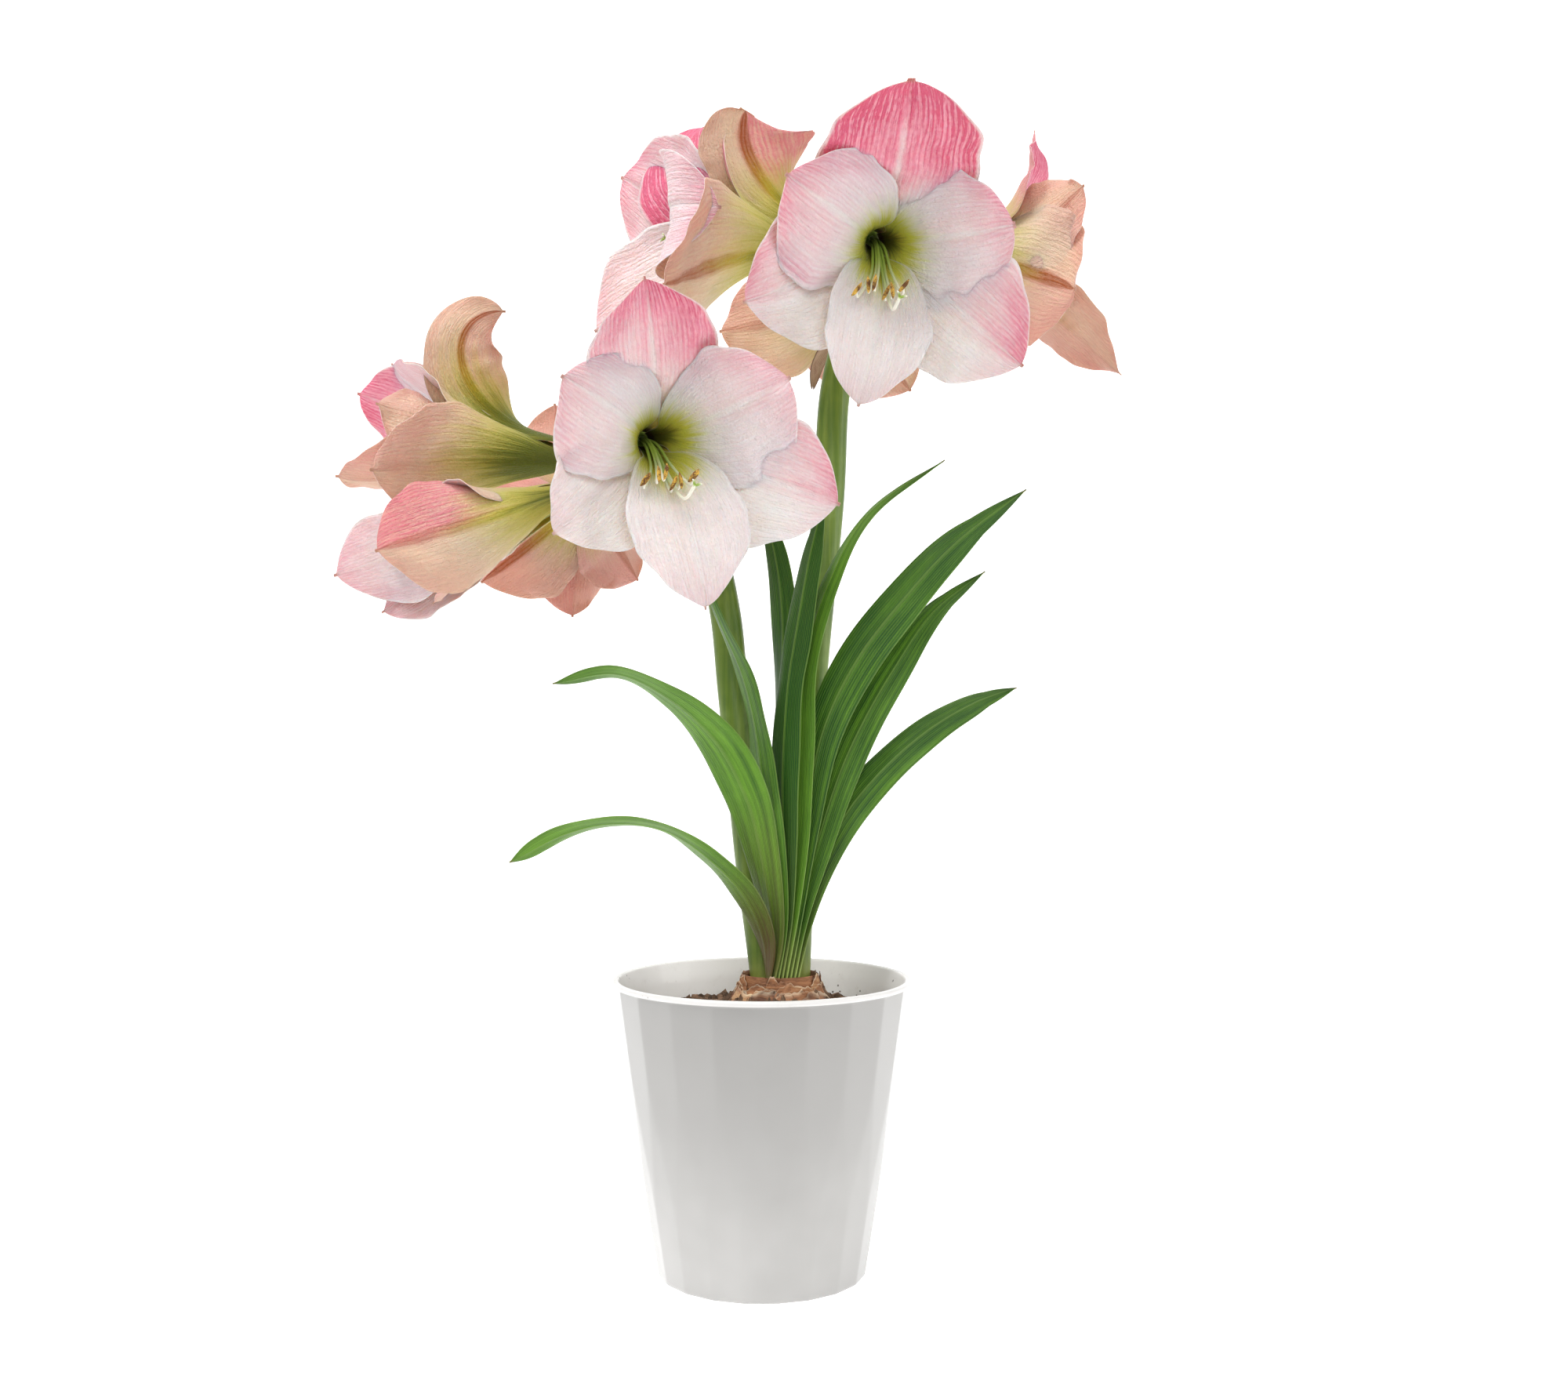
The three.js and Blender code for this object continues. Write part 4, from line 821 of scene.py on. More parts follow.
class BloomSettings(bpy.types.PropertyGroup):
    """Sizes and colours of the tepals."""

    rows: bpy.props.IntProperty(name="Rows", description="Points from a tepal's base to its tip", default=76)
    columns: bpy.props.IntProperty(name="Columns", description="Points across a tepal", default=45)
    thickness: amount("Thickness", "Thickness of a tepal at its midrib, in mm", 0.7)
    ruffle: amount("Ruffle", "Height of the small waves of the margin, in mm", 0.5)
    relief: bpy.props.FloatProperty(
        name="Relief", description="Depth of the veins and crêpe", default=0.0014, precision=5,
        subtype="DISTANCE", unit="LENGTH")
    white: paint("White", "Ground of the inner face", (0.94, 0.885, 0.86))
    shade: paint("Shade", "Uneven tone of the inner face", (0.89, 0.785, 0.73))
    pink_light: paint("Light pink", "Flush of the inner face", (0.89, 0.40, 0.49))
    pink_deep: paint("Deep pink", "Strongest pink of veins and tips", (0.72, 0.13, 0.23))
    throat_pale: paint("Pale throat", "Yellow-cream ring round the throat", (0.86, 0.82, 0.50))
    throat_light: paint("Light throat", "Lime green star of the throat", (0.70, 0.68, 0.06))
    throat_green: paint("Green throat", "Green of the throat", (0.17, 0.19, 0.003))
    throat_dark: paint("Dark throat", "Dark red deep in the throat", (0.12, 0.05, 0.015))
    outer_cream: paint("Outer cream", "Ground of the outer face", (0.79, 0.67, 0.47))
    outer_peach: paint("Outer peach", "Tone of the outer face near tips and margins", (0.72, 0.41, 0.33))
    outer_line: paint("Outer lines", "Fine veins of the outer face", (0.66, 0.26, 0.24))
    rib_brown: paint("Midrib", "Brown-red midrib of the outer face", (0.34, 0.09, 0.02))
    tube_lime: paint("Lime", "Lime green above the tube", (0.50, 0.47, 0.02))
    tube_green: paint("Tube green", "Green of the tube", (0.10, 0.125, 0.0))
    hook: paint("Hook", "Brownish green of the hooked tip", (0.45, 0.24, 0.14))


class AMARYLLIS_OT_blooms(bpy.types.Operator):
    """Build the eight blooms, each six tepals that meet in a short tube"""

    bl_idname = "amaryllis.blooms"
    bl_label = "Blooms"

    def execute(self, context):
        settings = context.scene.amaryllis_bloom
        skin = tepal_finish(settings)
        for number, (name, bloom) in enumerate(BLOOMS.items()):
            parts = [tepal_part(bloom, tepal, settings, number * 7.3 + i * 1.9)
                     for i, tepal in enumerate(bloom["tepals"])]
            make_piece(f"tepals_{name}", parts, skin, [f"bloom_{name}"])
        return {"FINISHED"}


# ---------------------------------------------------------------- stamens and style


def stamen_parts(bloom):
    """Six filaments and a style leave one small ring, sag towards the lower tepals and turn up at their
    ends. An anther, a bent spindle, lies across each filament, and three lobes end the style."""
    right, up, axis = bloom_frame(bloom["faces"])
    own = {**PLAIN_BLOOM, **bloom}
    sag, swing = own["sag"], own["swing"]

    def place(u, v, w):
        return np.array(bloom["at"]) + (u + swing * (w / 80) ** 2) * right + v * up + w * axis

    parts = [rod_part([place(0, 0, -0.1), place(0, 0, 1.5), place(0, 0, 3.2)], (2, 2, 1.6), 16, 6, kind=0.0)]
    for i in range(FILAMENTS):
        a = TURN * (i + 0.5) / FILAMENTS
        spread, height = math.cos(a) + 0.28 * (-1) ** i, math.sin(a)
        reach = FILAMENT_REACH + 5 * height
        path = [
            place(1.3 * math.cos(a), 1.3 * height, 2.4),
            place(2.6 * spread, -2 * sag + 1.6 * height, 24),
            place(4.5 * spread, -9 * sag + 2.5 * height, 48),
            place(7.5 * spread * sag, -15.5 * sag + 3 * height, reach),
            place(8 * spread * sag, -12 * sag + 3 * height, reach + 8),
        ]
        parts.append(rod_part(path, (0.95, 0.85, 0.75, 0.65, 0.4), 10, 40, kind=0.0))
        lie = unit(up + right * (0.3 + 0.5 * math.cos(i * 1.9)))
        tip = path[4]
        lift = 0.9 * axis
        anther = [tip - 4.1 * lie - lift, tip - 2.1 * lie + 0.4 * lift, tip + 0.5 * lift,
                  tip + 2.1 * lie + 0.4 * lift, tip + 4.1 * lie - lift]
        parts.append(rod_part(anther, (0.3, 1.3, 1.45, 1.3, 0.3), 12, 18, squash=0.7, kind=1.0, seed=i))
    style = [place(0, 0, 2.4), place(0, -3.5 * sag, 26), place(2, -12.5 * sag, 56), place(7, -19.5 * sag, 80),
             place(11, -14 * sag, 89.6)]
    parts.append(rod_part(style, (1.0, 0.9, 0.8, 0.8, 0.9), 12, 48, kind=0.0, seed=7))
    end = style[4]
    lead = unit(style[4] - style[3])
    for i in range(3):
        a = TURN * i / 3
        out = right * math.cos(a) + np.cross(lead, right) * math.sin(a)
        lobe = [end - 0.5 * lead, end + 0.6 * lead + 1.1 * out, end + 1.4 * lead + 2.4 * out,
                end + 1.2 * lead + 3.2 * out]
        parts.append(rod_part(lobe, (0.7, 0.65, 0.55, 0.2), 10, 10, kind=0.0, seed=7))
    return parts


def stamen_finish(settings):
    """Filaments run from green at the base to white; anthers are golden with grainy pollen."""
    skin = Finish("stamen skin", Subsurface_Weight=0.1, Subsurface_Radius=(0.002, 0.0012, 0.0008))
    along, kind = skin.attributes("along", "kind")
    pollen = skin.noise(1600.0, 2.0)
    patch = skin.noise(260.0, 2.0)
    grain = (patch * 0.7 + pollen * 0.5).step(0.5, 0.74)
    anther = skin.layers(settings.anther_brown, (settings.anther_gold, grain))
    white = along.step(0.35, 0.85)
    colour = skin.layers(settings.filament_base, (settings.filament_tip, white), (anther, kind))
    return skin.done(colour, 0.45 + 0.4 * kind, pollen * kind, depth=0.0003)


class StamenSettings(bpy.types.PropertyGroup):
    """Colours of the stamens."""

    filament_base: paint("Filament base", "Green of the filaments in the throat", (0.30, 0.42, 0.07))
    filament_tip: paint("Filament tip", "White of the filaments and style", (0.86, 0.84, 0.72))
    anther_gold: paint("Pollen", "Golden pollen", (0.72, 0.44, 0.07))
    anther_brown: paint("Anther", "Brown of the anther's back", (0.13, 0.05, 0.012))


class AMARYLLIS_OT_stamens(bpy.types.Operator):
    """Build the stamens and style of each bloom"""

    bl_idname = "amaryllis.stamens"
    bl_label = "Stamens"

    def execute(self, context):
        skin = stamen_finish(context.scene.amaryllis_stamen)
        for name, bloom in BLOOMS.items():
            make_piece(f"filaments_{name}", stamen_parts(bloom), skin, [f"stamens_{name}"])
        return {"FINISHED"}


# ---------------------------------------------------------------- stalks


def ovary_part(low, axis, right, length):
    """A three-lobed ovary: a spindle along the bloom's axis whose radius swells three times round."""
    t = np.linspace(0, 1, 26)[:, None]
    a = around(36)[None, :]
    radius = curve((3.2, 5.1, 6.0, 5.4, 4.7), t) * (1 + 0.07 * np.cos(3 * a) * np.sin(math.pi * t))
    other = np.cross(axis, right)
    points = (
        np.array(low) + (length * t)[..., None] * axis
        + (radius * np.cos(a))[..., None] * right + (radius * np.sin(a))[..., None] * other
    )
    return tube_part(points, along=np.broadcast_to(t, radius.shape), kind=1.0)


def stalk_parts(side):
    """A scape with the pedicels of its blooms, each curving over into the ovary behind its bloom."""
    path, radii = STALKS[side]["path"], STALKS[side]["radii"]
    parts = [rod_part(path, radii, 40, 120, squash=0.97, kind=0.0)]
    top = np.array(path[-1], float)
    lead = unit(curve(path, 1.0) - curve(path, 0.98))
    for name, bloom in BLOOMS.items():
        if not name.startswith(side):
            continue
        right, _, axis = bloom_frame(bloom["faces"])
        mouth = np.array(bloom["at"]) - MOUTH_GAP * axis
        low = mouth - OVARY_LENGTH * axis
        pedicel = [top - 3 * lead, top + 5 * lead, low - 9 * axis, low + axis]
        parts.append(rod_part(pedicel, (4.4, 3.7, 3.1, 3.3), 18, 36, kind=0.5))
        parts.append(ovary_part(low - axis, axis, right, OVARY_LENGTH + 1))
    return parts


def stalk_finish(settings):
    """Waxy green with fine lengthwise streaks, a paler bloom in patches and a brown-green foot; pedicels
    and ovaries are brighter."""
    skin = Finish("stalk skin", Subsurface_Weight=0.05, Subsurface_Radius=(0.002, 0.003, 0.001),
                  Specular_IOR_Level=0.45)
    along, kind = skin.attributes("along", "kind")
    streaks = skin.noise(420.0, 3.0, where=skin.place((1, 1, 0.03)))
    cloud = skin.noise(38.0, 3.0)
    speck = skin.noise(900.0, 2.0)
    foot = (along + (cloud - 0.5) * 0.05).step(0.09, 0.0) * (1.0 - kind.step(0.1, 0.4))
    colour = skin.layers(
        settings.green_dark,
        (settings.green_light, (streaks * 0.7 + cloud * 0.5).step(0.35, 0.85)),
        (settings.waxy, cloud.step(0.5, 0.8) * 0.35),
        (settings.foot, foot * 0.6),
        (settings.ovary, kind * (0.6 + 0.3 * streaks)),
    )
    return skin.done(colour, 0.36 + 0.12 * cloud, streaks * 0.7 + speck * 0.2, depth=0.0003)


class StalkSettings(bpy.types.PropertyGroup):
    """Colours of the stalks."""

    green_dark: paint("Dark green", "Darker streaks", (0.07, 0.14, 0.012))
    green_light: paint("Light green", "Lighter streaks", (0.16, 0.235, 0.026))
    waxy: paint("Waxy bloom", "Pale waxy patches", (0.24, 0.34, 0.10))
    foot: paint("Foot", "Tone at the bulb", (0.40, 0.42, 0.11))
    ovary: paint("Ovary", "Bright green of pedicels and ovaries", (0.17, 0.25, 0.02))


class AMARYLLIS_OT_stalks(bpy.types.Operator):
    """Build the two flower stalks with their pedicels and ovaries"""

    bl_idname = "amaryllis.stalks"
    bl_label = "Stalks"

    def execute(self, context):
        skin = stalk_finish(context.scene.amaryllis_stalk)
        for side in STALKS:
            make_piece(f"scape_{side}", stalk_parts(side), skin, [f"stalk_{side}"])
        return {"FINISHED"}


# ---------------------------------------------------------------- leaves


def leaf_grid(leaf, rows, cols):
    """Grid of points over a strap leaf: its width is laid square to the midrib curve and turned about
    it, and the blade is a shallow channel with a crease along the midrib. The outline closes in the
    last stretch to a blunt point."""
    t = np.linspace(0, 1, rows)
    t = 1 - (1 - t) ** 1.15
    centre = curve(leaf["path"], t)
    tangent = unit(np.gradient(centre, axis=0))
    back = unit(np.array((0.0, 1.0, 0.0)) - tangent[:, 1:2] * tangent)
    side = np.cross(tangent, back)
    a = np.radians(curve(leaf["turns"], t))[:, None]
    wide = back * np.cos(a) + side * np.sin(a)
    deep = side * np.cos(a) - back * np.sin(a)
    point = np.sqrt(np.clip(1 - smooth(leaf.get("taper", 0.8), 1.0, t) ** 1.5, 0.002, 1))
    widths = np.maximum(curve(leaf["widths"], t), 0.5)
    widths = np.maximum(widths, leaf["widths"][-2] * 0.8 * (t > 0.86))
    half = (widths / 2 * point)[:, None]
    v = np.linspace(-1, 1, cols)[None, :]
    channel = 0.12 * half * (1 - v**2) + 0.05 * half * np.exp(-((v / 0.12) ** 2))
    wave = 0.5 * v**2 * np.sin(TURN * 4.3 * t[:, None] + np.sign(v) * 1.3) * smooth(0.25, 0.5, t)[:, None]
    grid = centre[:, None] + wide[:, None] * (v * half)[..., None]
    grid = grid + deep[:, None] * (channel + wave)[..., None]
    return grid, t[:, None], v


def leaf_part(leaf, settings, seed):
    """A leaf as a closed blade, thick at the base and midrib and thin at the margin and tip."""
    grid, along, across = leaf_grid(leaf, settings.rows, settings.columns)
    thickness = settings.thickness * (1 - 0.55 * np.abs(across) ** 3) * mix(1.15, 0.6, along)
    looks = {"tone": leaf["tone"], "stain": leaf["stain"], "seed": seed}
    return blade_part(grid, thickness, along=along, across=across, **looks)


def leaf_finish(settings):
    """Satin green strap leaf: parallel veins along it, a pale midrib line, a pale yellow-green base with
    a red-brown stain on some leaves, a thin pale margin, and a paler underside."""
    skin = Finish("leaf skin", Subsurface_Weight=0.06, Subsurface_Radius=(0.001, 0.003, 0.0008),
                  Specular_IOR_Level=0.32, Coat_Weight=0.1, Coat_Roughness=0.3)
    along, across = skin.attributes("along", "across")
    face, tone, stain, seed = skin.attributes("face", "tone", "stain", "seed")
    drift = skin.field(across * 0.6, along * 3.0, seed, 2.0, scale=1.5) - 0.5
    veins = (across * 58.0 + drift * 4.0).sine().step(-0.2, 1.0)
    bands = skin.field(across * 5.0, along * 1.2, seed)
    fibre = skin.field(across * 40.0, along * 9.0, seed, 2.0)
    blotch = skin.field(across * 1.5, along * 9.0, seed)
    from_rib = abs(across)
    dark = (tone * 0.75 + bands * 0.8 + (blotch - 0.5) * 0.4).step(0.4, 1.15)
    pale = (along + (bands - 0.5) * 0.05).step(0.14, 0.0)
    stained = stain * along.step(0.45, 0.06) * (0.45 + 0.9 * bands) * along.step(-0.01, 0.06)
    colour = skin.layers(
        settings.green_light,
        (settings.green_dark, dark),
        (settings.vein, veins * 0.22 + fibre.step(0.55, 0.85) * 0.12),
        (settings.under, (1.0 - face) * 0.5),
        (settings.midrib, from_rib.step(0.1, 0.01) * 0.4),
        (settings.midrib, from_rib.step(0.94, 0.995) * 0.5),
        (settings.base, pale * 0.85),
        (settings.stain, (stained * 0.75).clamp()),
        (settings.dry, along.step(0.985, 1.0) * 0.7),
    )
    return skin.done(colour, 0.34 + 0.16 * blotch, veins * 0.7 + fibre * 0.4, depth=0.0003)


class LeafSettings(bpy.types.PropertyGroup):
    """Sizes and colours of the strap leaves."""

    rows: bpy.props.IntProperty(name="Rows", description="Points along a leaf", default=110)
    columns: bpy.props.IntProperty(name="Columns", description="Points across a leaf", default=25)
    thickness: amount("Thickness", "Thickness of a leaf at its midrib, in mm", 1.3)
    green_light: paint("Light green", "Lighter bands", (0.17, 0.38, 0.026))
    green_dark: paint("Dark green", "Darker bands", (0.011, 0.072, 0.005))
    under: paint("Underside", "Paler underside", (0.17, 0.27, 0.06))
    vein: paint("Veins", "Parallel veins", (0.21, 0.40, 0.03))
    midrib: paint("Midrib", "Midrib and margin", (0.22, 0.36, 0.07))
    base: paint("Base", "Pale base at the bulb", (0.46, 0.58, 0.16))
    stain: paint("Stain", "Red-brown stain of some bases", (0.14, 0.075, 0.03))
    dry: paint("Dry tip", "Dry brown tip", (0.30, 0.22, 0.08))


class AMARYLLIS_OT_leaves(bpy.types.Operator):
    """Build the nine strap leaves"""

    bl_idname = "amaryllis.leaves"
    bl_label = "Leaves"

    def execute(self, context):
        settings = context.scene.amaryllis_leaf
        skin = leaf_finish(settings)
        for number, (name, leaf) in enumerate(LEAVES.items()):
            part = leaf_part(leaf, settings, number * 3.7)
            make_piece(f"strap_{name}", [part], skin, [f"leaf_{name}"])
        return {"FINISHED"}


# ---------------------------------------------------------------- bracts


def bract_part(bract, seed):
    """A withered bract: a narrow sheet that leaves the umbel, droops as the square of its run, curls
    its margins down and twists a little towards its tip."""
    rows, cols = 50, 13
    t = np.linspace(0, 0.995, rows)[:, None]
    v = np.linspace(-1, 1, cols)[None, :]
    lead = unit(bract["out"])
    wide = unit(np.cross(lead, (0, 0, 1)))
    length = bract["length"]
    centre = np.array(bract["from"]) + (length * t * (1 - 0.35 * t))[..., None] * lead
    half = 6.5 * (1 - t) ** 0.6 * (0.6 + 0.9 * t)
    crumple = 0.5 * t * np.sin(9 * t + 4 * v + seed) + 0.25 * t * np.sin(23 * t - 7 * v)
    drop = -0.5 * length * t**2 - 1.6 * v**2 + crumple
    grid = centre + (v * half)[..., None] * wide + drop[..., None] * np.array((0, 0, 1.0))
    return blade_part(grid, 0.45, along=t, across=v, seed=seed)


def bract_finish(settings):
    """Thin dry skin: tan with red-brown parallel veins and darker crumpled edges."""
    skin = Finish("bract skin", Subsurface_Weight=0.1, Subsurface_Radius=(0.002, 0.001, 0.0007))
    along, across, seed = skin.attributes("along", "across", "seed")
    veins = (across * 40.0 + seed).sine().step(0.0, 1.0)
    cloud = skin.field(across * 2.0, along * 6.0, seed)
    patch = (cloud * 0.8 + veins * 0.3).step(0.35, 0.9)
    edge = abs(across).step(0.8, 1.0) * 0.6
    colour = skin.layers(settings.tan, (settings.red, patch), (settings.dark, edge))
    return skin.done(colour, 0.6, veins + cloud, depth=0.0003)


class BractSettings(bpy.types.PropertyGroup):
    """Colours of the withered bracts."""

    tan: paint("Tan", "Ground of the bract", (0.50, 0.33, 0.20))
    red: paint("Red-brown", "Veins and patches", (0.27, 0.10, 0.06))
    dark: paint("Edge", "Dark dry edges", (0.10, 0.05, 0.03))


class AMARYLLIS_OT_bracts(bpy.types.Operator):
    """Build the papery bracts under the blooms"""

    bl_idname = "amaryllis.bracts"
    bl_label = "Bracts"

    def execute(self, context):
        skin = bract_finish(context.scene.amaryllis_bract)
        for number, (name, bract) in enumerate(BRACTS.items()):
            part = bract_part(bract, number * 2.3)
            make_piece(f"husk_{name}", [part], skin, [f"bract_{name}"])
        return {"FINISHED"}


# ---------------------------------------------------------------- bulb

def on_bulb(points):
    """Moves points from round the Z axis onto the bulb's own axis and narrows its neck front to back."""
    x, y, z = np.moveaxis(points, -1, 0)
    squeeze = mix(1, NECK_DEEP / NECK_WIDE, smooth(130, 164, z))
    return np.stack([x + BULB_X, y * squeeze, z], -1)


def bulb_radius(z):
    """Radius of the bulb's outer skin at a height, along its profile and up the straight neck."""
    r, heights = np.array([*BULB_PROFILE, (NECK_WIDE, NECK_TOP)], float).T
    return np.interp(z, heights, r)


def bulb_body_part():
    """The bulb: its profile carried round, with a pit in the neck, and with shallow ribs and dents outside
    the pit. These are a sine round it and a field of lumps, and push each point out from the axis."""
    z = mix(BULB_FOOT, NECK_TOP - 0.8, np.linspace(0, 1, 70))
    outer = np.stack([bulb_radius(z) - 0.5, z], -1)
    pit = [(20.4, NECK_TOP - 0.5), (19.9, NECK_TOP - 1.5), (19.7, PIT_FLOOR), (12, PIT_FLOOR)]
    profile = np.array([*outer, *pit])

    def dented(points):
        x, y, z = np.moveaxis(points, -1, 0)
        angle = np.arctan2(y, x)
        size = 0.35 * np.sin(9 * angle + 0.05 * z) + 0.3 * lumps(points, 16, 5)
        shift = np.where(np.hypot(x, y) > 20.45, np.minimum(size, 0.45), 0.0)
        return on_bulb(points) + turned(shift, 0.0, angle)

    rings = turned(profile[:, :1], profile[:, 1:], around(120))
    poles = np.array([(0, 0, BULB_FOOT), (0, 0, PIT_FLOOR)])
    return domed_part(dented(rings), dented(poles), along=0.4, flake=0.0)


def flake_part(turn, spread, low, high, lift, seed):
    """A papery scale round the neck: a patch of the bulb's skin from low to high, stood off it by lift
    that grows towards its ragged upper edge, with wrinkles along it."""
    rows, cols = 26, 44
    u = np.linspace(0, 1, rows)[:, None]
    v = np.linspace(-1, 1, cols)[None, :]
    rng = np.random.default_rng(seed)
    ragged = sum(rng.uniform(0.4, 1.4) / k * np.sin(k * 3.1 * v + rng.uniform(0, 6.3)) for k in (1, 2, 4, 7))
    top = high + 1.5 * ragged - 2.5 * v**4
    z = mix(low, top, u)
    angle = math.radians(turn) + v * math.radians(spread) * mix(1, 0.86, u)
    wrinkle = 0.2 * np.sin(15 * u + 6 * np.sin(3 * v + seed) + seed) + 0.3 * np.sin(11 * v - 5 * u + 2 * seed)
    curl = lift * u**2.2 * (1 + 0.6 * np.sin(4 * v + seed))
    r = bulb_radius(z) + 0.35 + 0.25 * np.abs(wrinkle) + curl + 0.6 * u * wrinkle
    return blade_part(on_bulb(turned(r, z, angle))[:, ::-1], 0.32, along=u, flake=1.0, seed=seed)


def bulb_parts():
    """The bulb with overlapping papery scales, lowest and widest first, and a few torn ones that stand
    up round the neck."""
    parts = [bulb_body_part()]
    rng = np.random.default_rng(11)
    for i in range(9):
        low = rng.uniform(126, 138)
        parts.append(flake_part(i * 41 + rng.uniform(-9, 9), rng.uniform(30, 48), low, rng.uniform(149, 154),
                                rng.uniform(0.3, 1.1), i + 1))
    for i in range(11):
        parts.append(flake_part(i * 33 + rng.uniform(-9, 9), rng.uniform(20, 34), rng.uniform(143, 149),
                                rng.uniform(154, 158.5), rng.uniform(0.1, 0.6), i + 21))
    for i in range(6):
        parts.append(flake_part(i * 62 + 20, rng.uniform(14, 24), rng.uniform(150, 153),
                                rng.uniform(158, 160.5), rng.uniform(0.1, 0.5), i + 41))
    return parts


def bulb_finish(settings):
    """Papery tunic: lengthwise fibres and torn patches from tan to dark red-brown, with pale edges."""
    skin = Finish("tunic", Specular_IOR_Level=0.4)
    along, flake, seed = skin.attributes("along", "flake", "seed")
    fibre = skin.noise(200.0, 4.0, 0.6, where=skin.place((0.35, 0.35, 1.6)), warp=1.2)
    patch = skin.noise(75.0, 4.0, 0.6, where=skin.place((0.7, 0.7, 1.5)), warp=0.8)
    layer = skin.field(seed * 3.1, 0.4, 0.2, 0.0)
    tone = fibre * 0.65 + patch * 0.6 + (layer - 0.5) * 0.6 - 0.1
    colour = skin.layers(
        settings.dark,
        (settings.red, tone.step(0.25, 0.6)),
        (settings.tan, tone.step(0.55, 0.9) * 0.9),
        (settings.pale, flake * along.step(0.86, 1.0) * 0.45 * patch.step(0.3, 0.6)),
    )
    return skin.done(colour, 0.5 + 0.25 * patch, fibre * 1.2 + patch * 0.8, depth=0.0009)


class BulbSettings(bpy.types.PropertyGroup):
    """Colours of the bulb's papery skin."""

    dark: paint("Dark", "Dark red-brown", (0.10, 0.035, 0.014))
    red: paint("Red-brown", "Red-brown ground", (0.38, 0.165, 0.07))
    tan: paint("Tan", "Lighter fibres and patches", (0.80, 0.54, 0.28))
    pale: paint("Torn edge", "Pale torn edges", (0.92, 0.80, 0.58))


class AMARYLLIS_OT_bulb(bpy.types.Operator):
    """Build the bulb with its papery scales"""

    bl_idname = "amaryllis.bulb"
    bl_label = "Bulb"

    def execute(self, context):
        skin = bulb_finish(context.scene.amaryllis_bulb)
        make_piece("tunicate_bulb", bulb_parts(), skin, ["bulb"])
        return {"FINISHED"}


# ---------------------------------------------------------------- soil


def inner_wall(z):
    """Radius of the pot's inner wall at a height."""
    return mix(WALL_INNER_FOOT, WALL_INNER_TOP, z / POT_HEIGHT)


def soil_height(x, y):
    """Height of the soil: low along the wall, heaped about the bulb, with gentle uneven lumps."""
    heap = HEAP_HEIGHT * (1 - smooth(18, 42, np.hypot(x - BULB_X, y)))
    swell = 1.3 * np.sin(0.23 * x + 1.1) * np.cos(0.19 * y - 0.6) + 0.9 * np.sin(0.41 * y + 0.3 * x)
    return SOIL_LEVEL + heap + swell


def soil_body_part(settings):
    """The soil's body: a disc of rings whose top follows the soil height with crumbly bumps, and whose
    side follows the pot's wall down to a flat bottom."""
    a = around(260)
    wall = inner_wall(135) - CLEARANCE
    r = np.linspace(0, 1, 71)[1:, None] * wall
    flat = turned(r, 0.0, a)
    crumb = np.abs(lumps(flat, 7, 21)) * 1.5 + np.abs(lumps(flat, 3.4, 22)) * 0.9 + lumps(flat, 1.9, 23) * 0.4
    z = soil_height(flat[..., 0], flat[..., 1]) + settings.crumble * (crumb - 1.4)
    z = np.where(r > wall - 0.5, SOIL_AT_WALL, z)
    low = FLOOR_THICKNESS + CLEARANCE
    side = np.array([(inner_wall(low + 4) - CLEARANCE, low + 4), (inner_wall(low) - 4, low)])
    rings = np.concatenate([turned(r, z, a), turned(side[:, :1], side[:, 1:], a)])
    poles = [(0, 0, soil_height(0.0, 0.0)), (0, 0, low)]
    return domed_part(rings, poles, downwards=True, tint=0.3)


def icosahedron():
    """Corners of a regular icosahedron of radius one: (0, 1, golden ratio) with both signs and its three
    cyclic turns. Its faces are the triples of neighbours, wound to face outwards."""
    golden = (1 + math.sqrt(5)) / 2
    corners = np.array([(0, p, q * golden) for p in (-1, 1) for q in (-1, 1)], float)
    corners = unit(np.concatenate([np.roll(corners, turn, axis=1) for turn in range(3)]))
    apart = np.linalg.norm(corners[:, None] - corners[None], axis=-1)
    near = (apart > 0.1) & (apart < 1.2)
    triples = [(i, j, k) for i in range(12) for j in range(i + 1, 12) for k in range(j + 1, 12)
               if near[i, j] and near[j, k] and near[i, k]]
    outwards = [np.linalg.det(corners[list(triple)]) > 0 for triple in triples]
    return corners, np.array([(i, j, k) if out else (i, k, j) for (i, j, k), out in zip(triples, outwards)])


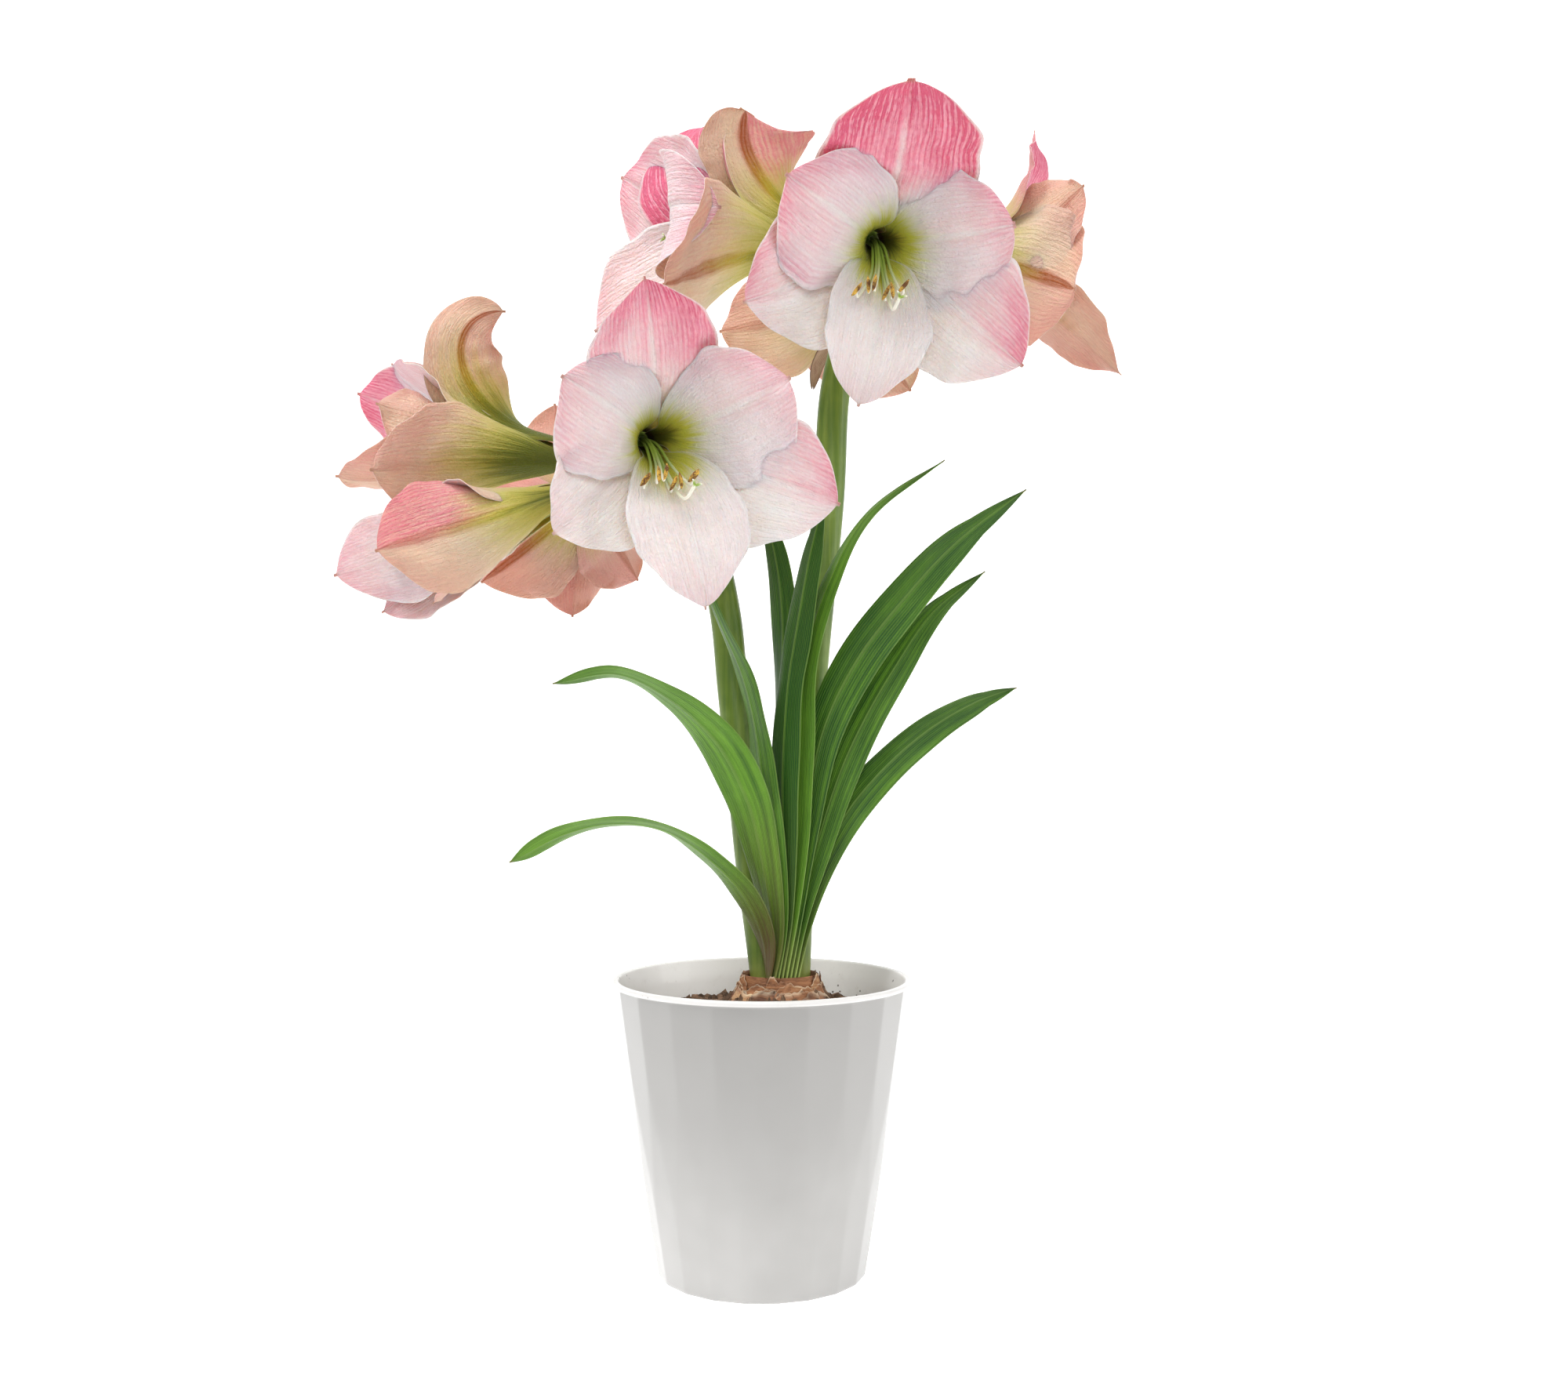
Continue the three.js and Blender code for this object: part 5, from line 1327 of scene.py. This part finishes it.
def crumb_parts(settings):
    """Loose crumbs: one small faceted lump repeated at seeded places on the soil, each stretched,
    turned and sized by its own draw. All are worked out in one array."""
    rng = np.random.default_rng(5)
    count = settings.crumbs
    corners, faces = icosahedron()
    angle = rng.uniform(0, TURN, count)
    wall = inner_wall(140) - 3.5
    radius = wall * np.sqrt(rng.uniform(0.02, 1, count))
    x, y = radius * np.cos(angle), radius * np.sin(angle)
    clear = np.hypot(x - BULB_X, y) > 31
    x, y = x[clear], y[clear]
    count = len(x)
    size = rng.uniform(0.5, 1, count) ** 2.2 * settings.crumb_size + 0.5
    stretch = rng.uniform(0.6, 1.25, (count, 3)) * size[:, None]
    knobs = rng.uniform(0.75, 1.15, (count, 12, 1))
    turn = rng.uniform(0, TURN, count)
    local = corners[None] * knobs * stretch[:, None]
    c, s = np.cos(turn)[:, None], np.sin(turn)[:, None]
    u, v, w = np.moveaxis(local, -1, 0)
    spun = np.stack([u * c - v * s, u * s + v * c, w], -1)
    centre = np.stack([x, y, soil_height(x, y) + 0.25 * size], -1)
    vertices = (spun + centre[:, None]).reshape(-1, 3)
    every = (faces[None] + 12 * np.arange(count)[:, None, None]).reshape(-1, 3)
    tint = np.repeat(rng.uniform(0, 1, count) ** 1.5, 12)
    return [Part(vertices, [every], tint=tint)]


def soil_finish(settings):
    """Moist peat: near black to dark brown in patches, with lighter fibres and a rough surface."""
    skin = Finish("potting soil", Specular_IOR_Level=0.3)
    (tint,) = skin.attributes("tint")
    patch = skin.noise(120.0, 5.0, 0.65)
    grain = skin.noise(900.0, 4.0, 0.6)
    fibre = skin.noise(500.0, 3.0, where=skin.place((1, 0.15, 0.5)))
    dry = (patch * 0.6 + grain * 0.4 + tint * 0.35).step(0.35, 0.95)
    colour = skin.layers(settings.dark, (settings.brown, dry), (settings.fibre, fibre.step(0.68, 0.8) * 0.5))
    return skin.done(colour, 0.78 + 0.2 * grain, patch + grain * 0.7, depth=0.0012)


class SoilSettings(bpy.types.PropertyGroup):
    """Sizes and colours of the soil."""

    crumbs: bpy.props.IntProperty(name="Crumbs", description="Number of loose crumbs", default=2600)
    crumb_size: amount("Crumb size", "Radius of the largest crumbs, in mm", 3.0)
    crumble: amount("Crumble", "Height of the soil's bumps, in mm", 1.0)
    dark: paint("Dark", "Moist peat", (0.035, 0.022, 0.014))
    brown: paint("Brown", "Drier crumbs", (0.30, 0.18, 0.11))
    fibre: paint("Fibres", "Light fibres", (0.55, 0.40, 0.26))


class AMARYLLIS_OT_soil(bpy.types.Operator):
    """Build the soil with its loose crumbs"""

    bl_idname = "amaryllis.soil"
    bl_label = "Soil"

    def execute(self, context):
        settings = context.scene.amaryllis_soil
        skin = soil_finish(settings)
        parts = [soil_body_part(settings), *crumb_parts(settings)]
        make_piece("crumbly_soil", parts, skin, ["soil"], smooth_faces=False)
        return {"FINISHED"}


# ---------------------------------------------------------------- pot


def pot_part(settings):
    """The pot: a closed profile carried round the axis. On the outer wall the radius is a soft minimum
    over forty leaning facet planes, twenty in each tier, and the lower tier is turned half a side."""
    angle = around(POT_SIDES * 2 * 14)
    wall_top = POT_HEIGHT - RIM_HEIGHT - 1.0
    foot_round = 1.2
    z_wall = np.concatenate([[0.0, 0.15, 0.5, foot_round], np.linspace(2.4, wall_top, 110)])

    def tier(slope):
        return TIER_CROSS_APOTHEM + (z_wall - TIER_CROSS_HEIGHT) * slope

    def off_middle(turn):
        """Angle from the middle of each facet, kept under a right angle."""
        middle = TURN / POT_SIDES * (np.arange(POT_SIDES) + turn)
        return np.minimum(np.abs((angle[:, None] - middle + math.pi) % TURN - math.pi), 1.2)

    soft = settings.edge_softness
    sums = np.zeros((len(z_wall), len(angle)))
    base = np.minimum(tier(UPPER_TIER_SLOPE), tier(LOWER_TIER_SLOPE))[:, None]
    for slope, turn in ((UPPER_TIER_SLOPE, 0.5), (LOWER_TIER_SLOPE, 0)):
        reach = tier(slope)[:, None, None] / np.cos(off_middle(turn))[None]
        sums += np.exp(-(reach - base[..., None]) / soft).sum(-1)
    wall = base - soft * np.log(sums)
    wall = wall - np.maximum(0, foot_round - z_wall)[:, None] ** 2 / foot_round * 0.8

    rim = [
        (RIM_RADIUS - 1.1, wall_top + 0.05), (RIM_RADIUS - 0.6, wall_top + 0.2),
        (RIM_RADIUS - 0.2, wall_top + 0.6), (RIM_RADIUS, wall_top + 1.1),
        (RIM_RADIUS, POT_HEIGHT - 1.1), (RIM_RADIUS - 0.25, POT_HEIGHT - 0.5),
        (RIM_RADIUS - 0.7, POT_HEIGHT - 0.12), (RIM_RADIUS - 1.2, POT_HEIGHT),
        (RIM_INNER_RADIUS + 1.2, POT_HEIGHT), (RIM_INNER_RADIUS + 0.6, POT_HEIGHT - 0.2),
        (RIM_INNER_RADIUS + 0.2, POT_HEIGHT - 0.7), (RIM_INNER_RADIUS, POT_HEIGHT - 1.6),
    ]
    inner_z = np.linspace(POT_HEIGHT - 8, FLOOR_THICKNESS + 5, 40)
    corner = inner_wall(FLOOR_THICKNESS)
    inside = [*np.stack([inner_wall(inner_z), inner_z], -1), (corner - 1.2, FLOOR_THICKNESS + 1.2),
              (corner - 4, FLOOR_THICKNESS), (HUB_RADIUS, FLOOR_THICKNESS)]
    tail = np.array([*rim, *inside], float)
    hub, rest = (np.broadcast_to(r, (len(r), len(angle))) for r in ([[HUB_RADIUS]], tail[:, :1]))
    radius = np.concatenate([hub, wall, rest])
    height = np.concatenate([[0.0], z_wall, tail[:, 1]])[:, None]
    # inside is 1 on the inner wall and 0.6 on the rim's lip and top; the finish paints these paler than the
    # outer wall as painted light
    inner = np.concatenate([np.zeros(len(z_wall) + 1), np.full(9, 0.6), np.ones(len(tail) - 9)])
    inner = np.concatenate([np.repeat(inner, len(angle)), [0, 1]])
    poles = [(0, 0, 0), (0, 0, FLOOR_THICKNESS)]
    pot = domed_part(turned(radius, height, angle), poles, inside=inner)
    # low runs from 1 at the foot to 0 at 100 mm up; the finish uses it for painted light, a paler lower wall
    # where light bounces up from the floor
    pot.attributes["low"] = 1 - smooth(15, 100, pot.vertices[:, 2])
    return pot


def pot_finish(settings):
    """Glossy moulded plastic, off-white, with a faint cloudy unevenness and dust; inside it is duller,
    with specks of soil."""
    skin = Finish("pot plastic", Coat_Weight=0.35, Coat_Roughness=0.1, Subsurface_Weight=0.2,
                  Subsurface_Radius=(0.003, 0.003, 0.003))
    inside, low = skin.attributes("inside", "low")
    cloud = skin.noise(14.0, 3.0)
    dust = skin.noise(160.0, 4.0, 0.7)
    spots = skin.cells(190.0)
    scatter = skin.noise(45.0, 2.0)
    speck = spots.step(0.16, 0.08) * scatter.step(0.5, 0.62) * inside
    smear = dust.step(0.5, 0.8) * scatter.step(0.35, 0.7) * inside
    fine = skin.cells(420.0).step(0.07, 0.03) * scatter.step(0.6, 0.7) * (1.0 - inside)
    colour = skin.layers(
        settings.white,
        # painted light: the lower wall is painted paler, standing in for light bounced up from the floor
        (settings.foot, low),
        (settings.shade, cloud.step(0.3, 0.75) * 0.6),
        # painted light: the inner wall, and partly the rim, are painted far paler than the same plastic
        # outside, standing in for the light that falls into the pot and onto the lip
        (settings.painted_light_lining, inside),
        (settings.dusty, smear * 0.45),
        (settings.soil, (speck * 0.85 + fine * 0.3).clamp()),
    )
    rough = 0.3 + 0.25 * inside + 0.05 * cloud
    return skin.done(colour, rough, dust, depth=0.00004)


class PotSettings(bpy.types.PropertyGroup):
    """Edges and colours of the pot."""

    edge_softness: amount("Edge softness", "How softly two facets of the pot meet, in mm", 0.16)
    white: paint("White", "Ground of the plastic", (0.345, 0.338, 0.327))
    # painted light: the paler colour of the lower wall stands in for light bounced up from the floor
    foot: paint("Foot", "Paler foot of the wall", (0.44, 0.432, 0.42))
    shade: paint("Shade", "Faint cloudy tone", (0.32, 0.313, 0.30))
    # painted light: the inner wall's colour is far paler than the same plastic outside and stands in for the
    # light that falls into the pot
    painted_light_lining: paint("Inside", "Paler inner wall", (0.97, 0.95, 0.93))
    dusty: paint("Dust", "Dust on the inner wall", (0.52, 0.47, 0.42))
    soil: paint("Specks", "Specks of soil", (0.06, 0.035, 0.02))


class AMARYLLIS_OT_pot(bpy.types.Operator):
    """Build the faceted pot"""

    bl_idname = "amaryllis.pot"
    bl_label = "Pot"

    def execute(self, context):
        settings = context.scene.amaryllis_pot
        make_piece("faceted_pot", [pot_part(settings)], pot_finish(settings), ["pot"])
        return {"FINISHED"}


# ---------------------------------------------------------------- stage, lights and camera


# Each light: where it stands, the height on the axis that it shines at, and its size, in metres.
LIGHTS = {
    "key": ((-0.5, -0.65, 2.9), 0.35, 1.3),
    "side": ((-1.7, -1.0, 1.9), 0.4, 1.2),
    "front": ((0.3, -2.2, 1.3), 0.55, 1.2),
    "fill": ((2.2, -0.3, 0.5), 0.3, 1.2),
}


def add_light(name, place, height, size, power):
    """A square soft light of size metres at place, which shines towards a height on the axis."""
    data = bpy.data.lights.new(name, "AREA")
    data.size = size
    data.energy = power
    light = added(name, data)
    light.location = place
    direction = np.array((0, 0, height)) - np.array(place)
    pitch = math.acos(-direction[2] / np.linalg.norm(direction))
    light.rotation_euler = (pitch, 0, math.atan2(-direction[0], direction[1]))


def backdrop_part(depth, width, bend):
    """Floor and wall in one sheet: flat to the back, a quarter circle of radius bend, then upright. It
    is carried straight across."""
    a = np.linspace(0, math.pi / 2, 20)
    y = np.concatenate([[-depth], depth - bend + bend * np.sin(a), [depth]])
    z = np.concatenate([[0], bend - bend * np.cos(a), [2 * depth]])
    x = np.array([-width, 0.0, width])[:, None]
    return np.stack([x + 0 * y, y + 0 * x, z + 0 * x], -1)


def make_backdrop(settings):
    """The pale floor and wall."""
    points = backdrop_part(3.2, 3.6, 1.4)
    mesh = bpy.data.meshes.new("backdrop")
    rows, cols = points.shape[:2]
    mesh.from_pydata(points.reshape(-1, 3).tolist(), [], grid_faces(rows, cols).tolist())
    mesh.polygons.foreach_set("use_smooth", np.ones(len(mesh.polygons), bool))
    paper = Finish("backdrop paper", Emission_Strength=settings.glow)
    front = paper.node("ShaderNodeSeparateXYZ", {}, paper.place(), output=1).step(-0.2, -0.55)
    paper.plug(paper.shader.inputs["Emission Color"], paper.layers((1.0, 1.0, 1.0), ((0.0, 0.0, 0.0), front)))
    mesh.materials.append(paper.done(paper.layers(settings.paper, (settings.paper_front, front)), 0.9))
    floor = added("backdrop", mesh)


def make_camera(settings):
    """A level camera in front of the plant."""
    data = bpy.data.cameras.new("camera")
    data.lens = settings.lens
    data.sensor_width = 36.0
    data.clip_end = 50.0
    camera = added("camera", data)
    camera.location = settings.camera_place
    camera.rotation_euler = (math.pi / 2, 0, 0)
    bpy.context.scene.camera = camera


def make_world(settings):
    """An even white surround."""
    world = bpy.data.worlds.new("surround")
    world.use_nodes = True
    background = world.node_tree.nodes["Background"]
    background.inputs["Color"].default_value = (1.0, 1.0, 1.0, 1.0)
    background.inputs["Strength"].default_value = settings.surround
    bpy.context.scene.world = world


class StageSettings(bpy.types.PropertyGroup):
    """Camera, lights and floor."""

    lens: amount("Lens", "Focal length in mm", 42.66)
    camera_place: bpy.props.FloatVectorProperty(
        name="Camera", description="Place of the camera", subtype="TRANSLATION", unit="LENGTH",
        default=(0.0118, -1.0, 0.309))
    paper: paint("Paper", "Colour of the floor and wall", (0.8, 0.8, 0.8))
    paper_front: paint("Front paper", "Colour of the floor in front of the plant", (0.42, 0.42, 0.42))
    glow: amount("Glow", "Light that the paper gives off", 0.75)
    surround: amount("Surround", "Strength of the white surround", 0.42)
    key: amount("Key light", "Power of the main light in W", 52.0)
    front: amount("Front light", "Power of the front light in W", 17.0)
    side: amount("Side light", "Power of the left light in W", 17.0)
    fill: amount("Fill light", "Power of the right light in W", 14.0)


class AMARYLLIS_OT_stage(bpy.types.Operator):
    """Build the floor, lights, surround and camera"""

    bl_idname = "amaryllis.stage"
    bl_label = "Stage"

    def execute(self, context):
        settings = context.scene.amaryllis_stage
        make_backdrop(settings)
        make_world(settings)
        for name, (place, height, size) in LIGHTS.items():
            add_light(name, place, height, size, getattr(settings, name))
        make_camera(settings)
        context.scene.view_settings.view_transform = "Standard"
        return {"FINISHED"}


# ---------------------------------------------------------------- panel and registration

SETTINGS = {
    "amaryllis_pot": PotSettings,
    "amaryllis_soil": SoilSettings,
    "amaryllis_bulb": BulbSettings,
    "amaryllis_stalk": StalkSettings,
    "amaryllis_leaf": LeafSettings,
    "amaryllis_bloom": BloomSettings,
    "amaryllis_stamen": StamenSettings,
    "amaryllis_bract": BractSettings,
    "amaryllis_stage": StageSettings,
}
OPERATORS = (
    AMARYLLIS_OT_stage,
    AMARYLLIS_OT_pot,
    AMARYLLIS_OT_soil,
    AMARYLLIS_OT_bulb,
    AMARYLLIS_OT_stalks,
    AMARYLLIS_OT_leaves,
    AMARYLLIS_OT_blooms,
    AMARYLLIS_OT_stamens,
    AMARYLLIS_OT_bracts,
)


class AMARYLLIS_PT_panel(bpy.types.Panel):
    """Lists the pieces and their settings."""

    bl_label = "Potted Amaryllis"
    bl_idname = "AMARYLLIS_PT_panel"
    bl_space_type = "VIEW_3D"
    bl_region_type = "UI"
    bl_category = "Amaryllis"

    def draw(self, context):
        for operator in OPERATORS:
            self.layout.operator(operator.bl_idname)
        for key, group in SETTINGS.items():
            box = self.layout.box()
            box.label(text=group.__doc__)
            for name in group.__annotations__:
                box.prop(getattr(context.scene, key), name)


def register():
    for group in SETTINGS.values():
        bpy.utils.register_class(group)
    for operator in OPERATORS:
        bpy.utils.register_class(operator)
    bpy.utils.register_class(AMARYLLIS_PT_panel)
    for key, group in SETTINGS.items():
        setattr(bpy.types.Scene, key, bpy.props.PointerProperty(type=group))


def unregister():
    for key in SETTINGS:
        delattr(bpy.types.Scene, key)
    bpy.utils.unregister_class(AMARYLLIS_PT_panel)
    for operator in reversed(OPERATORS):
        bpy.utils.unregister_class(operator)
    for group in reversed(tuple(SETTINGS.values())):
        bpy.utils.unregister_class(group)


def main():
    register()
    for operator in OPERATORS:
        _, name = operator.bl_idname.split(".")
        getattr(bpy.ops.amaryllis, name)()


if __name__ == "__main__":
    main()
